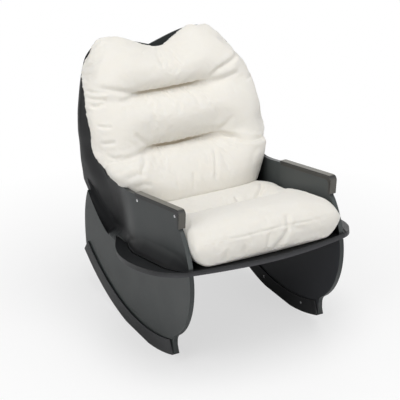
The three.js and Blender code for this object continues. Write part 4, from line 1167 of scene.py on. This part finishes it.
back_pad = stuffed(pillow("back_cushion_shown", back_surface), back_held, back_inside)
pressed_in(back_pad, "front", (
    (((-0.19, 0.512), (-0.12, 0.504), (-0.03, 0.502), (0.09, 0.504), (0.165, 0.512)), 0.009, 0.0042, 0.12),
    (((0.14, 0.508), (0.187, 0.545), (0.25, 0.568), (0.31, 0.59)), 0.007, 0.009, 0.3),
    (((0.14, 0.506), (0.2, 0.508), (0.29, 0.525)), 0.0053, 0.0092, 0.35),
    (((-0.14, 0.506), (-0.22, 0.53), (-0.285, 0.55), (-0.33, 0.556)), 0.007, 0.009, 0.3),
    (((-0.15, 0.503), (-0.2, 0.492), (-0.25, 0.496)), 0.0037, 0.008, 0.3),
    (((-0.18, 0.317), (-0.12, 0.311), (-0.03, 0.307), (0.07, 0.312), (0.16, 0.318)), 0.01, 0.0042, 0.12),
    (((0.13, 0.317), (0.175, 0.302), (0.205, 0.29), (0.245, 0.283), (0.3, 0.281), (0.345, 0.285)),
     0.012, 0.008, 0.3),
    (((-0.14, 0.313), (-0.215, 0.305), (-0.27, 0.295), (-0.335, 0.285)), 0.008, 0.009, 0.3),
    (((-0.145, 0.308), (-0.195, 0.292), (-0.23, 0.262), (-0.24, 0.23)), 0.006, 0.008, 0.35),
    (((-0.145, 0.316), (-0.19, 0.35), (-0.22, 0.385)), 0.0045, 0.0092, 0.3),
    (((0.13, 0.322), (0.17, 0.345), (0.2, 0.38)), 0.0037, 0.0103, 0.3),
    (((-0.35, 0.548), (-0.31, 0.54), (-0.265, 0.534)), 0.0045, 0.0057, 0.35),
    (((-0.35, 0.522), (-0.316, 0.516), (-0.28, 0.508)), 0.0045, 0.0057, 0.35),
    (((-0.35, 0.497), (-0.324, 0.494), (-0.295, 0.5)), 0.0037, 0.0057, 0.35),
    (((-0.35, 0.43), (-0.325, 0.421), (-0.29, 0.418)), 0.0037, 0.0057, 0.35),
    (((-0.35, 0.366), (-0.327, 0.363), (-0.29, 0.364)), 0.0037, 0.0069, 0.35),
    (((-0.34, 0.32), (-0.309, 0.309), (-0.27, 0.311)), 0.0037, 0.0069, 0.35),
    (((-0.34, 0.258), (-0.272, 0.278), (-0.22, 0.27)), 0.004, 0.008, 0.3),
    (((-0.31, 0.235), (-0.255, 0.25), (-0.215, 0.24)), 0.003, 0.009, 0.3),
    (((-0.28, 0.2), (-0.24, 0.212), (-0.2, 0.2)), 0.002, 0.009, 0.2),
    (((0.088, 0.285), (0.078, 0.254), (0.059, 0.217), (0.043, 0.165)), 0.006, 0.0069, 0.3),
    (((0.045, 0.28), (0.039, 0.234), (0.042, 0.191)), 0.0023, 0.008, 0.3),
    (((-0.03, 0.22), (-0.04, 0.19), (-0.04, 0.15)), 0.003, 0.0092, 0.3),
    (((0.26, 0.26), (0.22, 0.235), (0.21, 0.2)), 0.002, 0.0092, 0.2),
    (((-0.005, 0.65), (-0.012, 0.615), (-0.04, 0.58)), 0.003, 0.0069, 0.3),
    (((0.012, 0.645), (0.004, 0.61), (-0.02, 0.575)), 0.0023, 0.0069, 0.3),
    (((-0.07, 0.5), (-0.075, 0.46), (-0.07, 0.42)), 0.0023, 0.0103, 0.3),
    (((0.06, 0.5), (0.07, 0.46), (0.075, 0.42)), 0.0023, 0.0103, 0.3),
    (((-0.05, 0.315), (-0.06, 0.35), (-0.055, 0.39)), 0.0023, 0.0103, 0.3)))
finished(back_pad, "back_cushion", "cotton", cotton, "back_cushion")
finished(stitched("back_stitching", back_pad, (
    ("front", ((-0.17, 0.509), (-0.12, 0.504), (-0.03, 0.502), (0.09, 0.504), (0.155, 0.511))),
    ("front", ((-0.17, 0.316), (-0.12, 0.311), (-0.03, 0.307), (0.07, 0.312), (0.15, 0.317))))),
    "back_cushion", "cotton", thread)

# Floor and light. A pale floor that keeps the chair's soft shadow and turns white away from it, a key
# light from the left, a fill from the front right, a large soft one above and a weak one from behind.
floor = new_piece("floor", [(-6, -6, 0), (6, -6, 0), (6, 6, 0), (-6, 6, 0)], [(0, 1, 2, 3)])
floor_finish = bpy.data.materials.new("floor_white")
floor_finish.use_nodes = True
nodes = floor_finish.node_tree.nodes
matt = wire(floor_finish.node_tree, nodes["Principled BSDF"], {
    "Base Color": (0.93, 0.93, 0.93, 1), "Roughness": 0.8, "Specular IOR Level": 0.05})
add = adder(floor_finish.node_tree)
away = add("ShaderNodeVectorMath", {0: add("ShaderNodeTexCoord").outputs["Object"]}, operation="LENGTH")
fade = add("ShaderNodeMapRange", {"Value": away, "From Min": 0.5, "From Max": 1.5, "To Min": 0.62, "To Max": 1})
seen = times(add, fade, add("ShaderNodeLightPath").outputs["Is Camera Ray"])
plain = add("ShaderNodeEmission", {"Strength": 1})
wire(floor_finish.node_tree, nodes["Material Output"], {
    "Surface": add("ShaderNodeMixShader", {"Fac": seen, 1: matt, 2: plain})})
floor.data.materials.append(floor_finish)
for name, place, size, power in (
        ("key_light", (-3.0, -1.5, 2.3), 2.4, 44),
        ("front_light", (1.6, -4.2, 1.7), 2.4, 31),
        ("top_light", (0.2, -0.7, 3.8), 2.8, 72),
        ("back_light", (1.6, 3.4, 1.5), 2.6, 22)):
    lamp = bpy.data.lights.new(name, "AREA")
    lamp.shape = "DISK"
    lamp.size = size
    lamp.energy = power
    light = bpy.data.objects.new(name, lamp)
    light.location = place
    light.rotation_euler = (Vector((0, 0, 0.5)) - Vector(place)).to_track_quat("-Z", "Y").to_euler()
    bpy.context.scene.collection.objects.link(light)

# Surround. Plain white to the camera, a soft light on the chair, and dimmed in its gloss, as the
# photograph's upward dark faces reflect little.
surround_in_gloss = 0.16
surround_strength = 0.27
world = bpy.data.worlds.new("surround")
bpy.context.scene.world = world
world.use_nodes = True
world.node_tree.nodes.clear()
add = adder(world.node_tree)
rays = add("ShaderNodeLightPath").outputs
straight = add("ShaderNodeMath", {0: rays["Is Camera Ray"], 1: rays["Is Transmission Ray"]}, operation="MAXIMUM")
mirrored = times(add, rays["Is Glossy Ray"], surround_in_gloss)
shown = add("ShaderNodeMath", {0: straight, 1: mirrored}, operation="MAXIMUM")
soft, white = (add("ShaderNodeBackground", {"Color": (1, 1, 1, 1), "Strength": strength})
               for strength in (surround_strength, 1))
add("ShaderNodeOutputWorld", {"Surface": add("ShaderNodeMixShader", {"Fac": shown, 1: soft, 2: white})})
bpy.context.scene.view_settings.view_transform = "Standard"
